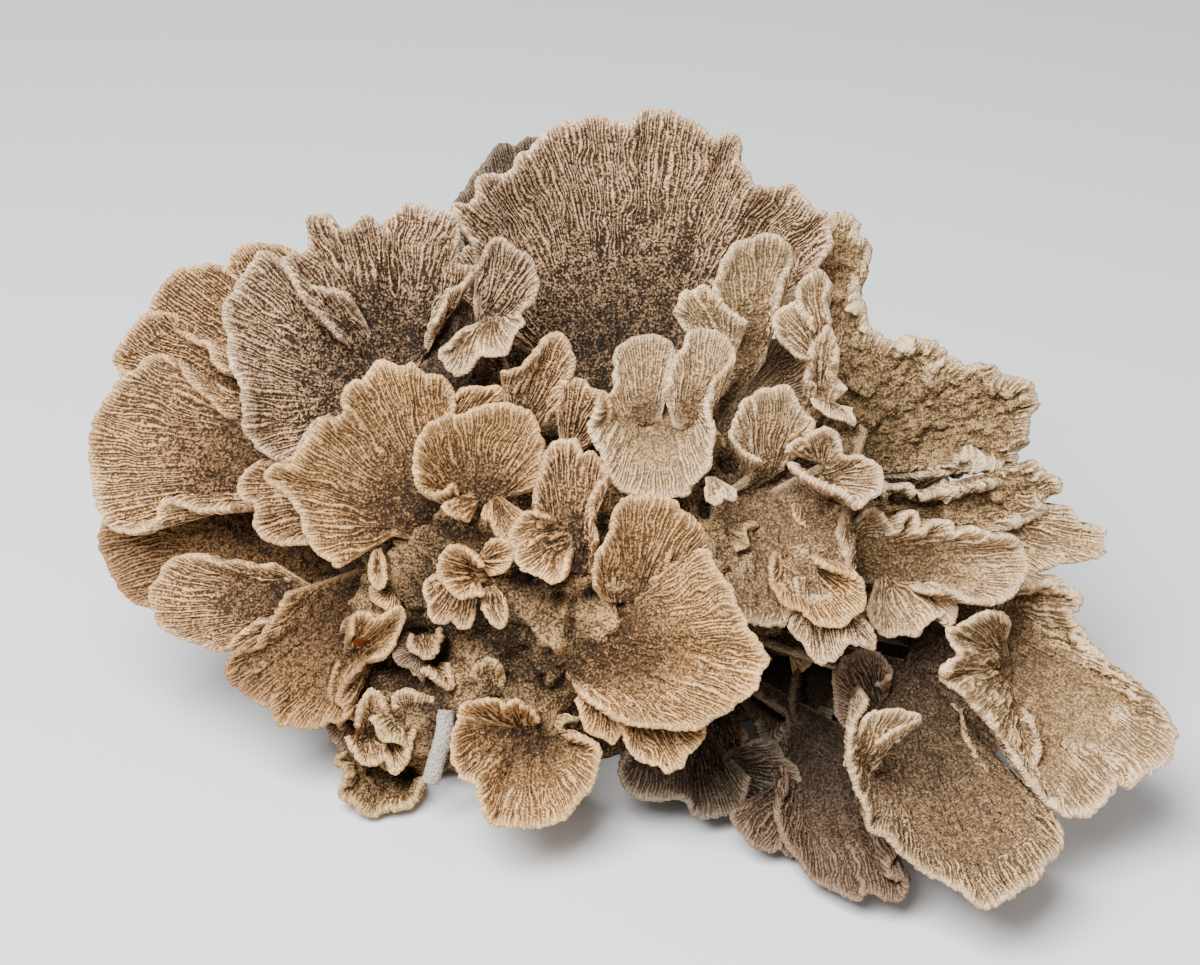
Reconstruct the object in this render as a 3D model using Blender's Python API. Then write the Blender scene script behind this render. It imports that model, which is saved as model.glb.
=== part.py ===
"""Plating montipora coral colony, cut flat where it grew on the reef.

Tiers of ruffled, cupped fronds grow outwards and upwards from one lumpy base.
Each main frond is one solid with its side lobes grown onto it; the base is one
solid with the small lobes of the foot; a chalky worm tube stands against it.

Lengths in the tables are millimetres and MM turns them into metres.  +Z is up,
the front of the colony faces -Y, and the origin is the middle of the cut foot.
"""

import math
from dataclasses import dataclass

import bmesh
import bpy
from mathutils import Vector, noise
from mathutils.bvhtree import BVHTree

MM = 0.001

# Sighting plane: fronds are laid out on a leaning plane as (across, up), and
# "forward" brings a point off the plane towards an eye in front of the colony.
EYE_DISTANCE = 1000.0
EYE_ELEVATION = math.radians(30.0)
SIGHT_CENTRE = (4.0, -24.0, 120.0)

# Base: a dome on a wide foot
CORE_CENTRE = (0.0, 0.0, 56.0)
CORE_HALF_WIDTH = 110.0
CORE_HALF_DEPTH = 60.0
CORE_HALF_HEIGHT = 74.0
CORE_LOWER_HEIGHT = 108.0
CORE_COLUMNS = 22
CORE_ROWS = 11
ROUGHNESS = 3.5
ROUGHNESS_SIZE = 34.0

# Fronds
FROND_THICKNESS = 4.6
LOBE_THICKNESS = 4.1
LOBE_LIFT = 0.4
EMBED = 0.72
ROOTED = 0.90
CLEARANCE = 0.3
CORNER_ALLOWANCE = 1.35
MERGE = 0.001
TUBE_RADIUS = 3.1
TUBE_WELD = 0.1
DEPTH_SAMPLES = 24

# Back fronds
SHELF_ROOT_WIDTH = 16.0
SHELF_SCALLOP = 0.07
SCALLOP_TURNS = 6.6
RUFFLE_STEP = 1.9
RISE_CURVE = 1.6

# Shares of the triangles that may be kept once lobes are joined, lightest first,
# and how far the volume may move, as a part of it
VOLUME_CHANGE = 0.03
KEPT_SHARES = (0.50, 0.54, 0.58, 0.62, 0.66, 0.70, 0.76, 0.82, 0.90, 1.00)

# Swellings and hollows of the base: direction from its centre, part of the
# local radius that is added, and how far the swelling spreads in degrees
SWELLINGS = (
    ((-0.82, -0.62, -0.34), 0.34, 22.0),
    ((-0.48, -0.80, -0.30), 0.10, 24.0),
    ((-0.05, -0.95, 0.00), 0.10, 26.0),
    ((0.55, -0.70, -0.45), -0.26, 30.0),
    ((0.80, -0.20, -0.30), -0.10, 26.0),
    ((0.38, -0.40, 0.84), -0.22, 30.0),
    ((-0.62, 0.10, 0.62), 0.06, 28.0),
    ((0.60, 0.62, -0.20), 0.08, 30.0),
    ((-0.45, 0.80, -0.20), 0.06, 30.0),
)


@dataclass(frozen=True)
class Plate:
    """One fan of coral: a sheet that spreads from its root to its rim.

    root is (across, up, forward); rim is the outline as (across, up) points in
    order; depths are forward values spread evenly along the rim; cup hollows
    the sheet away from the front.  A lobe's root is (across, up) on the plate
    that carries it, and its depths start from there.
    """

    root: tuple
    rim: tuple
    depths: tuple
    cup: float = 5.0
    root_width: float = 12.0
    rows: int = 2
    thickness: float = FROND_THICKNESS


@dataclass(frozen=True)
class Shelf:
    """One fan at the back: it leaves the base at a bearing and a height.

    bearing is in degrees about +Z from +X; height is where it leaves the base;
    reach is its radius; spread its opening angle; rise how far its rim climbs.
    """

    bearing: float
    height: float
    reach: float
    spread: float
    rise: float
    inset: float = 0.80
    ruffle: float = 6.0
    points: int = 9
    rows: int = 2


FRONDS = {
    "left_great_frond": (
        Plate(
            root=(-118, 8, -32),
            rim=((-148, 26), (-160, 36), (-168, 46), (-176, 51), (-186, 46), (-196, 37), (-203, 21),
                 (-203, 0), (-200, -14), (-191, -20), (-180, -17), (-173, -8), (-161, -11), (-148, -10)),
            depths=(-30, -22, -20, -22, -12),
            cup=6.0,
            root_width=34.0,
        ),
    ),
    "left_upper_frond": (
        Plate(
            root=(-116, 28, -44),
            rim=((-150, 44), (-155, 54), (-163, 58), (-170, 63), (-177, 69), (-186, 62), (-192, 57),
                 (-194, 48), (-190, 36)),
            depths=(-36, -30, -34),
        ),
    ),
    "left_high_frond": (
        Plate(
            root=(-108, 38, -58),
            rim=((-142, 74), (-150, 86), (-158, 88), (-166, 86), (-173, 83), (-179, 75), (-185, 68),
                 (-188, 56)),
            depths=(-50, -44, -48),
        ),
    ),
    "left_crown_frond": (
        Plate(
            root=(-92, 44, -70),
            rim=((-112, 84), (-120, 91), (-128, 95), (-136, 97), (-143, 95), (-149, 90), (-157, 80),
                 (-158, 68)),
            depths=(-60, -54, -60),
            root_width=26.0,
        ),
    ),
    "left_low_back_frond": (
        Plate(
            root=(-110, -18, -46),
            rim=((-196, -8), (-200, -22), (-198, -34), (-192, -44), (-181, -50), (-166, -56),
                 (-150, -56)),
            depths=(-38, -34, -38),
            root_width=34.0,
        ),
    ),
    "left_inner_frond": (
        Plate(
            root=(-104, -4, -18),
            rim=((-124, 10), (-132, 8), (-139, 8), (-144, 1), (-143, -6), (-138, -11), (-138, -17),
                 (-134, -23), (-126, -26), (-116, -24)),
            depths=(-14, -6, -12),
            root_width=24.0,
        ),
    ),
    "left_bowl_frond": (
        Plate(
            root=(-80, 30, -32),
            rim=((-104, 22), (-117, 20), (-124, 10), (-138, 15), (-144, 30), (-149, 52), (-151, 71),
                 (-143, 84), (-133, 92), (-125, 86), (-114, 78), (-100, 76)),
            depths=(-14, -6, -2, -8, -16, -22),
            cup=10.0,
            root_width=18.0,
            rows=3,
        ),
        Plate(
            root=(-80, 44),
            rim=((-104, 58), (-112, 68), (-120, 76), (-127, 90), (-119, 93), (-117, 105), (-110, 107),
                 (-103, 101), (-93, 107), (-85, 101), (-77, 111), (-64, 109), (-56, 104), (-57, 88),
                 (-51, 85), (-60, 76), (-66, 64)),
            depths=(10, 24, 8, 20, 8, 20, 12, 14),
            cup=6.0,
            root_width=14.0,
            rows=3,
        ),
    ),
    "left_low_frond": (
        Plate(
            root=(-88, -44, -24),
            rim=((-124, -44), (-134, -58), (-142, -67), (-150, -75), (-145, -82), (-139, -88),
                 (-132, -88), (-129, -96), (-117, -99), (-109, -96), (-103, -90), (-104, -81),
                 (-96, -74)),
            depths=(-12, -6, -2, -6),
            root_width=26.0,
        ),
        Plate(
            root=(-113, -48),
            rim=((-130, -32), (-144, -31), (-152, -32), (-164, -29), (-174, -32), (-180, -45),
                 (-176, -58), (-165, -64), (-154, -67), (-146, -62), (-139, -57), (-130, -56)),
            depths=(4, 8, 6),
            cup=3.0,
        ),
        Plate(
            root=(-100, -70),
            rim=((-99, -61), (-98, -54), (-90, -54), (-83, -51), (-77, -52), (-81, -60), (-86, -69),
                 (-92, -70)),
            depths=(14, 20, 12),
            cup=3.0,
            root_width=7.0,
            rows=1,
        ),
    ),
    "centre_left_frond": (
        Plate(
            root=(-72, -8, -4),
            rim=((-104, -34), (-115, -26), (-120, -13), (-127, -4), (-134, 2), (-124, 7), (-117, 18),
                 (-110, 26), (-102, 29), (-99, 41), (-90, 47), (-76, 48), (-66, 43), (-59, 38),
                 (-60, 26), (-66, 14)),
            depths=(8, 20, 16, 8, 2),
            cup=7.0,
            root_width=20.0,
            rows=3,
        ),
        Plate(
            root=(-62, 18),
            rim=((-60, 32), (-56, 37), (-48, 38), (-41, 39), (-39, 34), (-44, 26)),
            depths=(4, 6, 4),
            cup=2.0,
            root_width=8.0,
            rows=1,
        ),
    ),
    "centre_frond": (
        Plate(
            root=(-50, -8, 8),
            rim=((-58, -2), (-67, -5), (-74, 3), (-74, 14), (-69, 24), (-61, 27), (-52, 29), (-41, 32),
                 (-31, 29), (-25, 24), (-22, 16), (-22, 6), (-25, -3)),
            depths=(18, 26, 24, 26, 18),
            cup=8.0,
            root_width=14.0,
        ),
        Plate(
            root=(-50, -6),
            rim=((-58, -3), (-63, -8), (-60, -14), (-52, -15)),
            depths=(8, 14, 8),
            cup=1.0,
            root_width=6.0,
            rows=1,
        ),
        Plate(
            root=(-42, -6),
            rim=((-47, -14), (-43, -20), (-38, -24), (-32, -21), (-30, -12)),
            depths=(8, 12, 8),
            cup=1.0,
            root_width=6.0,
            rows=1,
        ),
    ),
    "scroll_frond": (
        Plate(
            root=(-46, 64, -26),
            rim=((-50, 84), (-46, 92), (-38, 97), (-29, 92), (-25, 84), (-26, 74), (-34, 66)),
            depths=(-20, -14, -18),
            cup=4.0,
            root_width=14.0,
        ),
        Plate(
            root=(-44, 66),
            rim=((-33, 68), (-31, 62), (-37, 52), (-48, 49), (-60, 50), (-66, 50), (-58, 60)),
            depths=(6, 10, 8),
            cup=2.0,
            root_width=8.0,
            rows=1,
        ),
    ),
    "tongue_frond": (
        Plate(
            root=(-32, 24, -16),
            rim=((-40, 44), (-30, 48), (-20, 59), (-12, 55), (-10, 48), (-14, 38), (-20, 28)),
            depths=(-8, -2, -8),
            cup=3.0,
            root_width=16.0,
        ),
    ),
    "small_middle_frond": (
        Plate(
            root=(-12, 14, -12),
            rim=((-16, 30), (-16, 38), (-9, 41), (0, 38), (5, 30), (0, 18)),
            depths=(-8, -4, -8),
            cup=3.0,
            root_width=9.0,
        ),
    ),
    "great_back_frond": (
        Plate(
            root=(12, 41, -58),
            rim=((-44, 62), (-52, 78), (-46, 92), (-57, 106), (-50, 116), (-44, 123), (-34, 128), (-21, 141), (-5, 146),
                 (9, 144), (20, 150), (34, 146), (47, 139), (56, 134), (62, 120), (78, 118),
                 (90, 107), (93, 97), (86, 84), (76, 72)),
            depths=(-36, -30, -44, -48, -44, -36, -38),
            cup=16.0,
            root_width=44.0,
            rows=3,
        ),
    ),
    "hidden_back_frond": (
        Plate(
            root=(-18, 48, -82),
            rim=((-56, 96), (-62, 106), (-54, 119), (-46, 129), (-38, 135), (-27, 139), (-12, 134),
                 (4, 128)),
            depths=(-76, -84, -88),
            cup=5.0,
            root_width=26.0,
        ),
    ),
    "two_lobe_frond": (
        Plate(
            root=(30, 22, -22),
            rim=((0, 34), (-4, 23), (-1, 12), (4, 3), (14, -5), (26, -7), (36, -3), (43, 6), (45, 20),
                 (42, 34)),
            depths=(2, 6, 8, 2),
            cup=2.0,
            root_width=14.0,
        ),
        Plate(
            root=(19, 25),
            rim=((1, 32), (7, 42), (7, 53), (13, 59), (24, 60), (29, 54), (27, 40)),
            depths=(5, 2, 5),
            cup=2.0,
        ),
        Plate(
            root=(36, 24),
            rim=((26, 36), (28, 46), (34, 55), (38, 62), (48, 61), (54, 53), (47, 42), (42, 32)),
            depths=(5, 7, 5),
            cup=2.0,
            root_width=9.0,
        ),
    ),
    "right_upper_frond": (
        Plate(
            root=(58, 44, -30),
            rim=((56, 66), (48, 74), (47, 85), (51, 93), (59, 98), (70, 99), (77, 93), (74, 82),
                 (71, 70)),
            depths=(-18, -12, -18),
            cup=4.0,
            root_width=18.0,
        ),
        Plate(
            root=(50, 54),
            rim=((36, 60), (29, 67), (33, 76), (42, 79), (48, 72), (54, 62)),
            depths=(6, 8, 6),
            cup=2.0,
            root_width=7.0,
            rows=1,
        ),
    ),
    "right_centre_frond": (
        Plate(
            root=(66, 4, -16),
            rim=((57, 12), (51, 21), (56, 30), (61, 36), (70, 39), (79, 34), (85, 25), (81, 13)),
            depths=(-6, -1, -6),
            cup=3.0,
            root_width=13.0,
        ),
    ),
    "right_scroll_frond": (
        Plate(
            root=(86, 28, -30),
            rim=((83, 42), (83, 54), (90, 62), (96, 56), (95, 44), (98, 36)),
            depths=(-20, -14, -20),
            cup=1.0,
            root_width=9.0,
            rows=1,
        ),
        Plate(
            root=(88, 54),
            rim=((82, 64), (79, 75), (82, 84), (90, 85), (92, 76), (94, 64)),
            depths=(4, 8, 2),
            cup=1.0,
            root_width=7.0,
            rows=1,
        ),
        Plate(
            root=(86, 50),
            rim=((82, 48), (74, 55), (70, 64), (75, 71), (80, 70), (86, 60)),
            depths=(4, 8, 2),
            cup=1.0,
            root_width=7.0,
            rows=1,
        ),
    ),
    "right_slab_frond": (
        Plate(
            root=(92, 16, -52),
            rim=((90, 88), (94, 107), (102, 106), (106, 94), (102, 78), (112, 60), (131, 56),
                 (146, 48), (159, 45), (171, 40), (174, 29), (171, 16), (171, 7), (150, 7),
                 (130, 4)),
            depths=(-56, -50, -40, -34, -32, -36),
            cup=4.0,
            root_width=30.0,
            rows=3,
            thickness=6.0,
        ),
    ),
    "right_spur_frond": (
        Plate(
            root=(108, -12, -30),
            rim=((118, -1), (132, -5), (149, -2), (166, 3), (178, 5), (186, -1), (179, -6), (176, -12),
                 (162, -20), (144, -24)),
            depths=(-22, -16, -14, -20),
            cup=3.0,
            root_width=24.0,
        ),
        Plate(
            root=(150, -14),
            rim=((172, -12), (184, -10), (192, -15), (203, -20), (201, -29), (186, -32), (172, -35)),
            depths=(6, 8, 4),
            cup=2.0,
        ),
    ),
    "right_bowl_frond": (
        Plate(
            root=(90, 0, -12),
            rim=((76, 12), (83, 19), (92, 21), (98, 11), (106, 9), (113, 2), (108, -6), (102, -9),
                 (92, -3), (80, 1), (73, 10)),
            depths=(-2, -2, 4, 16, 18, 4),
            cup=3.0,
            root_width=2.0,
        ),
    ),
    "right_middle_frond": (
        Plate(
            root=(106, -30, -14),
            rim=((104, -13), (111, -11), (119, -20), (124, -13), (132, -17), (141, -16), (150, -19),
                 (162, -21), (170, -28), (171, -38), (164, -47), (152, -48), (142, -44), (130, -44)),
            depths=(-4, 0, 8, 14, 12, 4),
            cup=5.0,
            root_width=16.0,
        ),
        Plate(
            root=(116, -38),
            rim=((106, -50), (109, -58), (117, -62), (127, -61), (133, -56), (140, -57), (144, -50),
                 (134, -46)),
            depths=(8, 16, 18, 10),
            cup=2.0,
            rows=1,
        ),
    ),
    "middle_slope_frond": (
        Plate(
            root=(66, -14, -12),
            rim=((42, -38), (50, -50), (58, -56), (68, -57), (75, -54), (78, -48), (92, -48), (100, -42),
                 (98, -30), (94, -20)),
            depths=(8, 16, 14, 6),
            cup=2.0,
            root_width=24.0,
        ),
        Plate(
            root=(86, -34),
            rim=((76, -31), (70, -35), (70, -44), (78, -51), (87, -59), (97, -59), (105, -52), (107, -43),
                 (100, -36), (93, -34)),
            depths=(12, 18, 20, 10),
            cup=5.0,
            root_width=7.0,
            rows=1,
        ),
        Plate(
            root=(88, -46),
            rim=((77, -52), (76, -60), (83, -68), (90, -72), (97, -67), (104, -66), (110, -65),
                 (104, -54)),
            depths=(2, 8, 4),
            cup=2.0,
            root_width=10.0,
            rows=1,
        ),
        Plate(
            root=(82, -14),
            rim=((78, -8), (79, -17), (86, -20), (93, -18), (92, -12)),
            depths=(6, 9, 6),
            cup=1.0,
            root_width=6.0,
            rows=1,
        ),
    ),
    "spiny_frond": (
        Plate(
            root=(-12, -18, 10),
            rim=((-25, -4), (-23, 8), (-16, 18), (-8, 14), (-2, 12), (3, 4), (-3, -6), (-3, -14)),
            depths=(22, 28, 22),
            cup=3.0,
            root_width=9.0,
        ),
        Plate(
            root=(-12, -20),
            rim=((-13, -36), (-21, -40), (-33, -33), (-37, -23), (-30, -13), (-20, -14)),
            depths=(10, 18, 10),
            cup=3.0,
            root_width=7.0,
            rows=1,
        ),
    ),
    "round_frond": (
        Plate(
            root=(-48, -36, 8),
            rim=((-46, -45), (-56, -46), (-64, -39), (-65, -31), (-57, -25), (-49, -29), (-44, -33)),
            depths=(22, 26, 22),
            cup=4.0,
            root_width=8.0,
        ),
        Plate(
            root=(-47, -31),
            rim=((-44, -38), (-38, -36), (-35, -29), (-40, -22), (-46, -25)),
            depths=(6, 12, 4),
            cup=1.0,
            root_width=6.0,
            rows=1,
        ),
        Plate(
            root=(-55, -40),
            rim=((-66, -38), (-71, -44), (-68, -54), (-61, -57), (-54, -58), (-50, -50)),
            depths=(-2, 2, -2),
            cup=2.0,
            root_width=7.0,
            rows=1,
        ),
        Plate(
            root=(-45, -42),
            rim=((-46, -48), (-45, -55), (-40, -59), (-36, -55), (-38, -46)),
            depths=(4, 8, 0),
            cup=1.0,
            root_width=6.0,
            rows=1,
        ),
    ),
    "front_great_frond": (
        Plate(
            root=(-4, -64, 4),
            rim=((20, -40), (41, -27), (50, -38), (56, -48), (60, -59), (67, -69), (64, -79), (55, -88),
                 (45, -95), (36, -100), (24, -98), (8, -94), (-8, -84)),
            depths=(26, 46, 54, 50, 46, 26),
            cup=8.0,
            root_width=34.0,
            rows=3,
        ),
        Plate(
            root=(10, -44),
            rim=((0, -38), (0, -26), (6, -12), (15, -6), (27, -6), (36, -13), (43, -23), (38, -34)),
            depths=(12, 18, 16),
            cup=6.0,
            root_width=12.0,
        ),
        Plate(
            root=(12, -44),
            rim=((4, -46), (5, -53), (12, -59), (19, -58), (22, -50)),
            depths=(10, 14, 8),
            cup=1.0,
            root_width=8.0,
            rows=1,
        ),
        Plate(
            root=(14, -86),
            rim=((40, -97), (41, -104), (34, -112), (28, -116), (18, -112), (11, -105), (8, -96)),
            depths=(10, 16, 8),
            cup=3.0,
            root_width=9.0,
        ),
        Plate(
            root=(0, -82),
            rim=((10, -94), (8, -102), (0, -103), (-7, -98), (-10, -87)),
            depths=(8, 12, 6),
            cup=2.0,
            root_width=8.0,
            rows=1,
        ),
    ),
    "front_rosette_frond": (
        Plate(
            root=(-28, -98, 2),
            rim=((-14, -101), (-5, -103), (0, -110), (-5, -123), (-14, -134), (-27, -138), (-42, -137),
                 (-49, -124), (-57, -116), (-59, -104), (-55, -93)),
            depths=(22, 34, 42, 44, 36, 24),
            cup=9.0,
            root_width=18.0,
            rows=3,
        ),
        Plate(
            root=(-32, -98),
            rim=((-56, -96), (-54, -88), (-45, -87), (-37, -88), (-29, -88), (-24, -96)),
            depths=(18, 16, 8),
            cup=4.0,
            root_width=8.0,
            rows=1,
        ),
    ),
    "hanging_shadow_frond": (
        Plate(
            root=(32, -98, -24),
            rim=((12, -106), (8, -115), (11, -124), (22, -127), (34, -127), (40, -133), (49, -134),
                 (56, -130), (60, -118)),
            depths=(2, 10, 12, 6),
            cup=3.0,
            root_width=26.0,
        ),
        Plate(
            root=(48, -114),
            rim=((58, -106), (64, -103), (71, -105), (79, -113), (80, -121), (73, -130), (65, -134),
                 (56, -129)),
            depths=(4, 12, 6),
            cup=2.0,
            root_width=10.0,
            rows=1,
        ),
    ),
    "brown_bottom_frond": (
        Plate(
            root=(86, -96, -22),
            rim=((75, -118), (71, -132), (73, -144), (81, -155), (90, -162), (104, -166), (122, -166),
                 (117, -156), (119, -145), (106, -126)),
            depths=(12, 34, 56, 54, 30),
            cup=4.0,
            root_width=24.0,
            rows=3,
        ),
        Plate(
            root=(78, -120),
            rim=((62, -130), (54, -133), (57, -141), (67, -148), (76, -150), (82, -142)),
            depths=(12, 26, 20),
            cup=2.0,
            root_width=9.0,
            rows=1,
        ),
    ),
    "bottom_right_bowl_frond": (
        Plate(
            root=(118, -76, -14),
            rim=((107, -86), (101, -97), (99, -108), (103, -124), (108, -139), (120, -148),
                 (136, -160), (154, -170), (172, -160), (184, -147), (182, -136), (166, -125),
                 (152, -115), (142, -98)),
            depths=(40, 60, 62, 74, 86, 76, 44, 20),
            cup=16.0,
            root_width=18.0,
            rows=3,
        ),
        Plate(
            root=(105, -108),
            rim=((100, -100), (106, -94), (116, -90), (128, -93), (118, -100), (109, -104)),
            depths=(2, 6, -6),
            cup=1.0,
            root_width=8.0,
            rows=1,
        ),
        Plate(
            root=(112, -90),
            rim=((103, -97), (94, -92), (94, -78), (98, -69), (110, -67), (116, -76), (110, -82)),
            depths=(8, 2, 6),
            cup=1.0,
            root_width=9.0,
            rows=1,
        ),
    ),
    "outer_right_bowl_frond": (
        Plate(
            root=(134, -50, -24),
            rim=((150, -42), (168, -42), (182, -40), (192, -46), (191, -55), (199, -67), (213, -79),
                 (227, -92), (230, -103), (222, -116), (208, -120), (198, -131), (186, -133),
                 (174, -122), (164, -108)),
            depths=(-14, -8, 0, 14, 34, 50, 46, 32),
            cup=12.0,
            root_width=36.0,
            rows=3,
        ),
        Plate(
            root=(164, -76),
            rim=((165, -57), (154, -52), (141, -59), (138, -74), (146, -87), (156, -98), (163, -109),
                 (171, -115), (176, -108), (172, -94)),
            depths=(14, 30, 36, 34, 30),
            cup=2.0,
            root_width=20.0,
        ),
    ),
}

# Small fans that grow on the foot and in the hollow under the right side
FOOT_LOBES = (
    Plate(root=(-90, -104, -24), rim=((-97, -98), (-95, -88), (-91, -83), (-86, -88), (-84, -97)),
          depths=(-10, -4, -10), cup=1.0, rows=1),
    Plate(root=(-74, -98, -24), rim=((-82, -96), (-82, -87), (-77, -85), (-68, -87), (-65, -92)),
          depths=(-8, 0, -8), cup=1.0, rows=1),
    Plate(root=(-88, -100, -26), rim=((-103, -101), (-97, -112), (-88, -112), (-82, -115), (-75, -107),
                                      (-74, -96)),
          depths=(-8, 4, -6), cup=1.0, root_width=14.0, rows=1),
    Plate(root=(-70, -62, -16), rim=((-76, -60), (-76, -69), (-70, -71), (-65, -67), (-65, -58)),
          depths=(0, 6, 0), cup=1.0, rows=1),
    Plate(root=(84, -84, -44), rim=((79, -74), (77, -88), (80, -98), (90, -99), (93, -86)),
          depths=(-28, -18, -28), cup=1.0, rows=1),
    Plate(root=(92, -104, -46), rim=((89, -101), (92, -112), (96, -120), (103, -118), (102, -106)),
          depths=(-28, -20, -28), cup=1.0, rows=1),
)

BACK_FRONDS = {
    "back_high_left_frond": Shelf(bearing=116, height=104, reach=72, spread=100, rise=34),
    "back_high_right_frond": Shelf(bearing=60, height=100, reach=80, spread=96, rise=30),
    "back_middle_frond": Shelf(bearing=88, height=72, reach=88, spread=104, rise=16),
    "back_left_frond": Shelf(bearing=142, height=58, reach=86, spread=84, rise=14),
    "back_right_frond": Shelf(bearing=36, height=60, reach=92, spread=84, rise=14),
    "back_low_middle_frond": Shelf(bearing=92, height=34, reach=66, spread=96, rise=10),
    "back_low_left_frond": Shelf(bearing=162, height=30, reach=62, spread=80, rise=8),
    "back_low_right_frond": Shelf(bearing=14, height=32, reach=72, spread=80, rise=8),
}

WORM_TUBE = ((-61.5, -91.0, 4.0), (-62.0, -98.0, 4.5), (-64.5, -108.0, 4.5), (-68.0, -120.0, 4.0))

PALETTE = {
    "cream": (0.62, 0.47, 0.31),
    "brown": (0.40, 0.29, 0.18),
    "grey": (0.27, 0.24, 0.19),
    "chalk": (0.52, 0.48, 0.42),
}
BROWN_FRONDS = ("left_low_frond", "right_slab_frond", "right_spur_frond", "brown_bottom_frond")
GREY_FRONDS = ("hidden_back_frond", "hanging_shadow_frond")


def place(across, up, forward):
    """Turn a place on the sighting plane, in millimetres, into metres in the colony's frame."""
    nearer = 1.0 - forward / EYE_DISTANCE
    lean = math.sin(EYE_ELEVATION)
    stand = math.cos(EYE_ELEVATION)
    x = SIGHT_CENTRE[0] + across * nearer
    y = SIGHT_CENTRE[1] + up * nearer * lean - forward * stand
    z = SIGHT_CENTRE[2] + up * nearer * stand + forward * lean
    return Vector((x, y, z)) * MM


def along(values, share):
    """Read a list of values at a share of its length, from 0 to 1, by straight lines."""
    position = share * (len(values) - 1)
    index = min(int(position), len(values) - 2)
    rest = position - index
    return values[index] * (1.0 - rest) + values[index + 1] * rest


def core_radius(direction):
    """Distance in metres from the core's centre to its surface along a unit direction."""
    half_height = CORE_HALF_HEIGHT if direction.z > 0.0 else CORE_LOWER_HEIGHT
    stretched = Vector((
        direction.x / CORE_HALF_WIDTH,
        direction.y / CORE_HALF_DEPTH,
        direction.z / half_height,
    ))
    radius = 1.0 / stretched.length
    swelling = 0.0
    for centre, amount, spread in SWELLINGS:
        angle = math.degrees(direction.angle(Vector(centre)))
        swelling += amount * math.exp(-((angle / spread) ** 2))
    radius *= 1.0 + swelling
    radius += ROUGHNESS * noise.noise(direction * radius / ROUGHNESS_SIZE)
    return radius * MM


def core_mesh():
    """The core: a dome from a sphere, swollen and hollowed, and cut flat at the foot."""
    bm = bmesh.new()
    bmesh.ops.create_uvsphere(bm, u_segments=CORE_COLUMNS, v_segments=CORE_ROWS, radius=1.0)
    centre = Vector(CORE_CENTRE) * MM
    for vert in bm.verts:
        direction = vert.co.normalized()
        vert.co = centre + direction * core_radius(direction)
    everything = bm.verts[:] + bm.edges[:] + bm.faces[:]
    bmesh.ops.bisect_plane(
        bm,
        geom=everything,
        plane_co=(0.0, 0.0, 0.0),
        plane_no=(0.0, 0.0, 1.0),
        clear_inner=True,
    )
    rim = [edge for edge in bm.edges if edge.is_boundary]
    bmesh.ops.holes_fill(bm, edges=rim)
    bmesh.ops.recalc_face_normals(bm, faces=bm.faces)
    mesh = bpy.data.meshes.new("core")
    bm.to_mesh(mesh)
    bm.free()
    return mesh


def inside_core(point, share):
    """The point on the line to the core's centre at a share of the core's radius."""
    centre = Vector(CORE_CENTRE) * MM
    direction = (point - centre).normalized()
    return centre + direction * core_radius(direction) * share


def is_inside(point):
    """Whether a point lies well inside the core."""
    centre = Vector(CORE_CENTRE) * MM
    limit = inside_core(point, ROOTED)
    return (point - centre).length < (limit - centre).length


def depth_on(plate, across, up):
    """How far forward a plate's sheet lies at a place on the sighting plane."""
    nearest = None
    for step_along in range(DEPTH_SAMPLES + 1):
        share = step_along / DEPTH_SAMPLES
        edge_across = along([point[0] for point in plate.rim], share)
        edge_up = along([point[1] for point in plate.rim], share)
        edge_depth = along(plate.depths, share)
        for step_out in range(DEPTH_SAMPLES + 1):
            out = step_out / DEPTH_SAMPLES
            bow = plate.cup * 4.0 * out * (1.0 - out)
            here_across = plate.root[0] * (1.0 - out) + edge_across * out
            here_up = plate.root[1] * (1.0 - out) + edge_up * out
            depth = plate.root[2] * (1.0 - out) + edge_depth * out - bow
            distance = math.hypot(here_across - across, here_up - up)
            if nearest is None or distance < nearest[0]:
                nearest = (distance, depth)
    return nearest[1]


def seated(lobe, carrier):
    """A lobe with its root's depth read off the plate that carries it."""
    depth = depth_on(carrier, lobe.root[0], lobe.root[1]) + LOBE_LIFT
    return Plate(
        root=(lobe.root[0], lobe.root[1], depth),
        rim=lobe.rim,
        depths=tuple(depth + step for step in lobe.depths),
        cup=lobe.cup,
        root_width=lobe.root_width,
        rows=lobe.rows,
        thickness=LOBE_THICKNESS,
    )


def sheet_points(plate, anchored):
    """Rows of points from the root to the rim, one point for each point of the outline."""
    first = plate.rim[0]
    last = plate.rim[-1]
    width = math.hypot(last[0] - first[0], last[1] - first[1])
    side_across = (last[0] - first[0]) / width * plate.root_width
    side_up = (last[1] - first[1]) / width * plate.root_width
    columns = len(plate.rim) - 1
    rows = []
    for row in range(plate.rows + 1):
        out = row / plate.rows
        bow = plate.cup * 4.0 * out * (1.0 - out)
        points = []
        for column, edge in enumerate(plate.rim):
            share = column / columns
            start_across = plate.root[0] + side_across * (share - 0.5)
            start_up = plate.root[1] + side_up * (share - 0.5)
            across = start_across * (1.0 - out) + edge[0] * out
            up = start_up * (1.0 - out) + edge[1] * out
            forward = plate.root[2] * (1.0 - out) + along(plate.depths, share) * out - bow
            points.append(place(across, up, forward))
        rows.append(points)
    if anchored and not all(is_inside(point) for point in rows[0]):
        rows.insert(0, [inside_core(point, EMBED) for point in rows[0]])
    return rows


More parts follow.
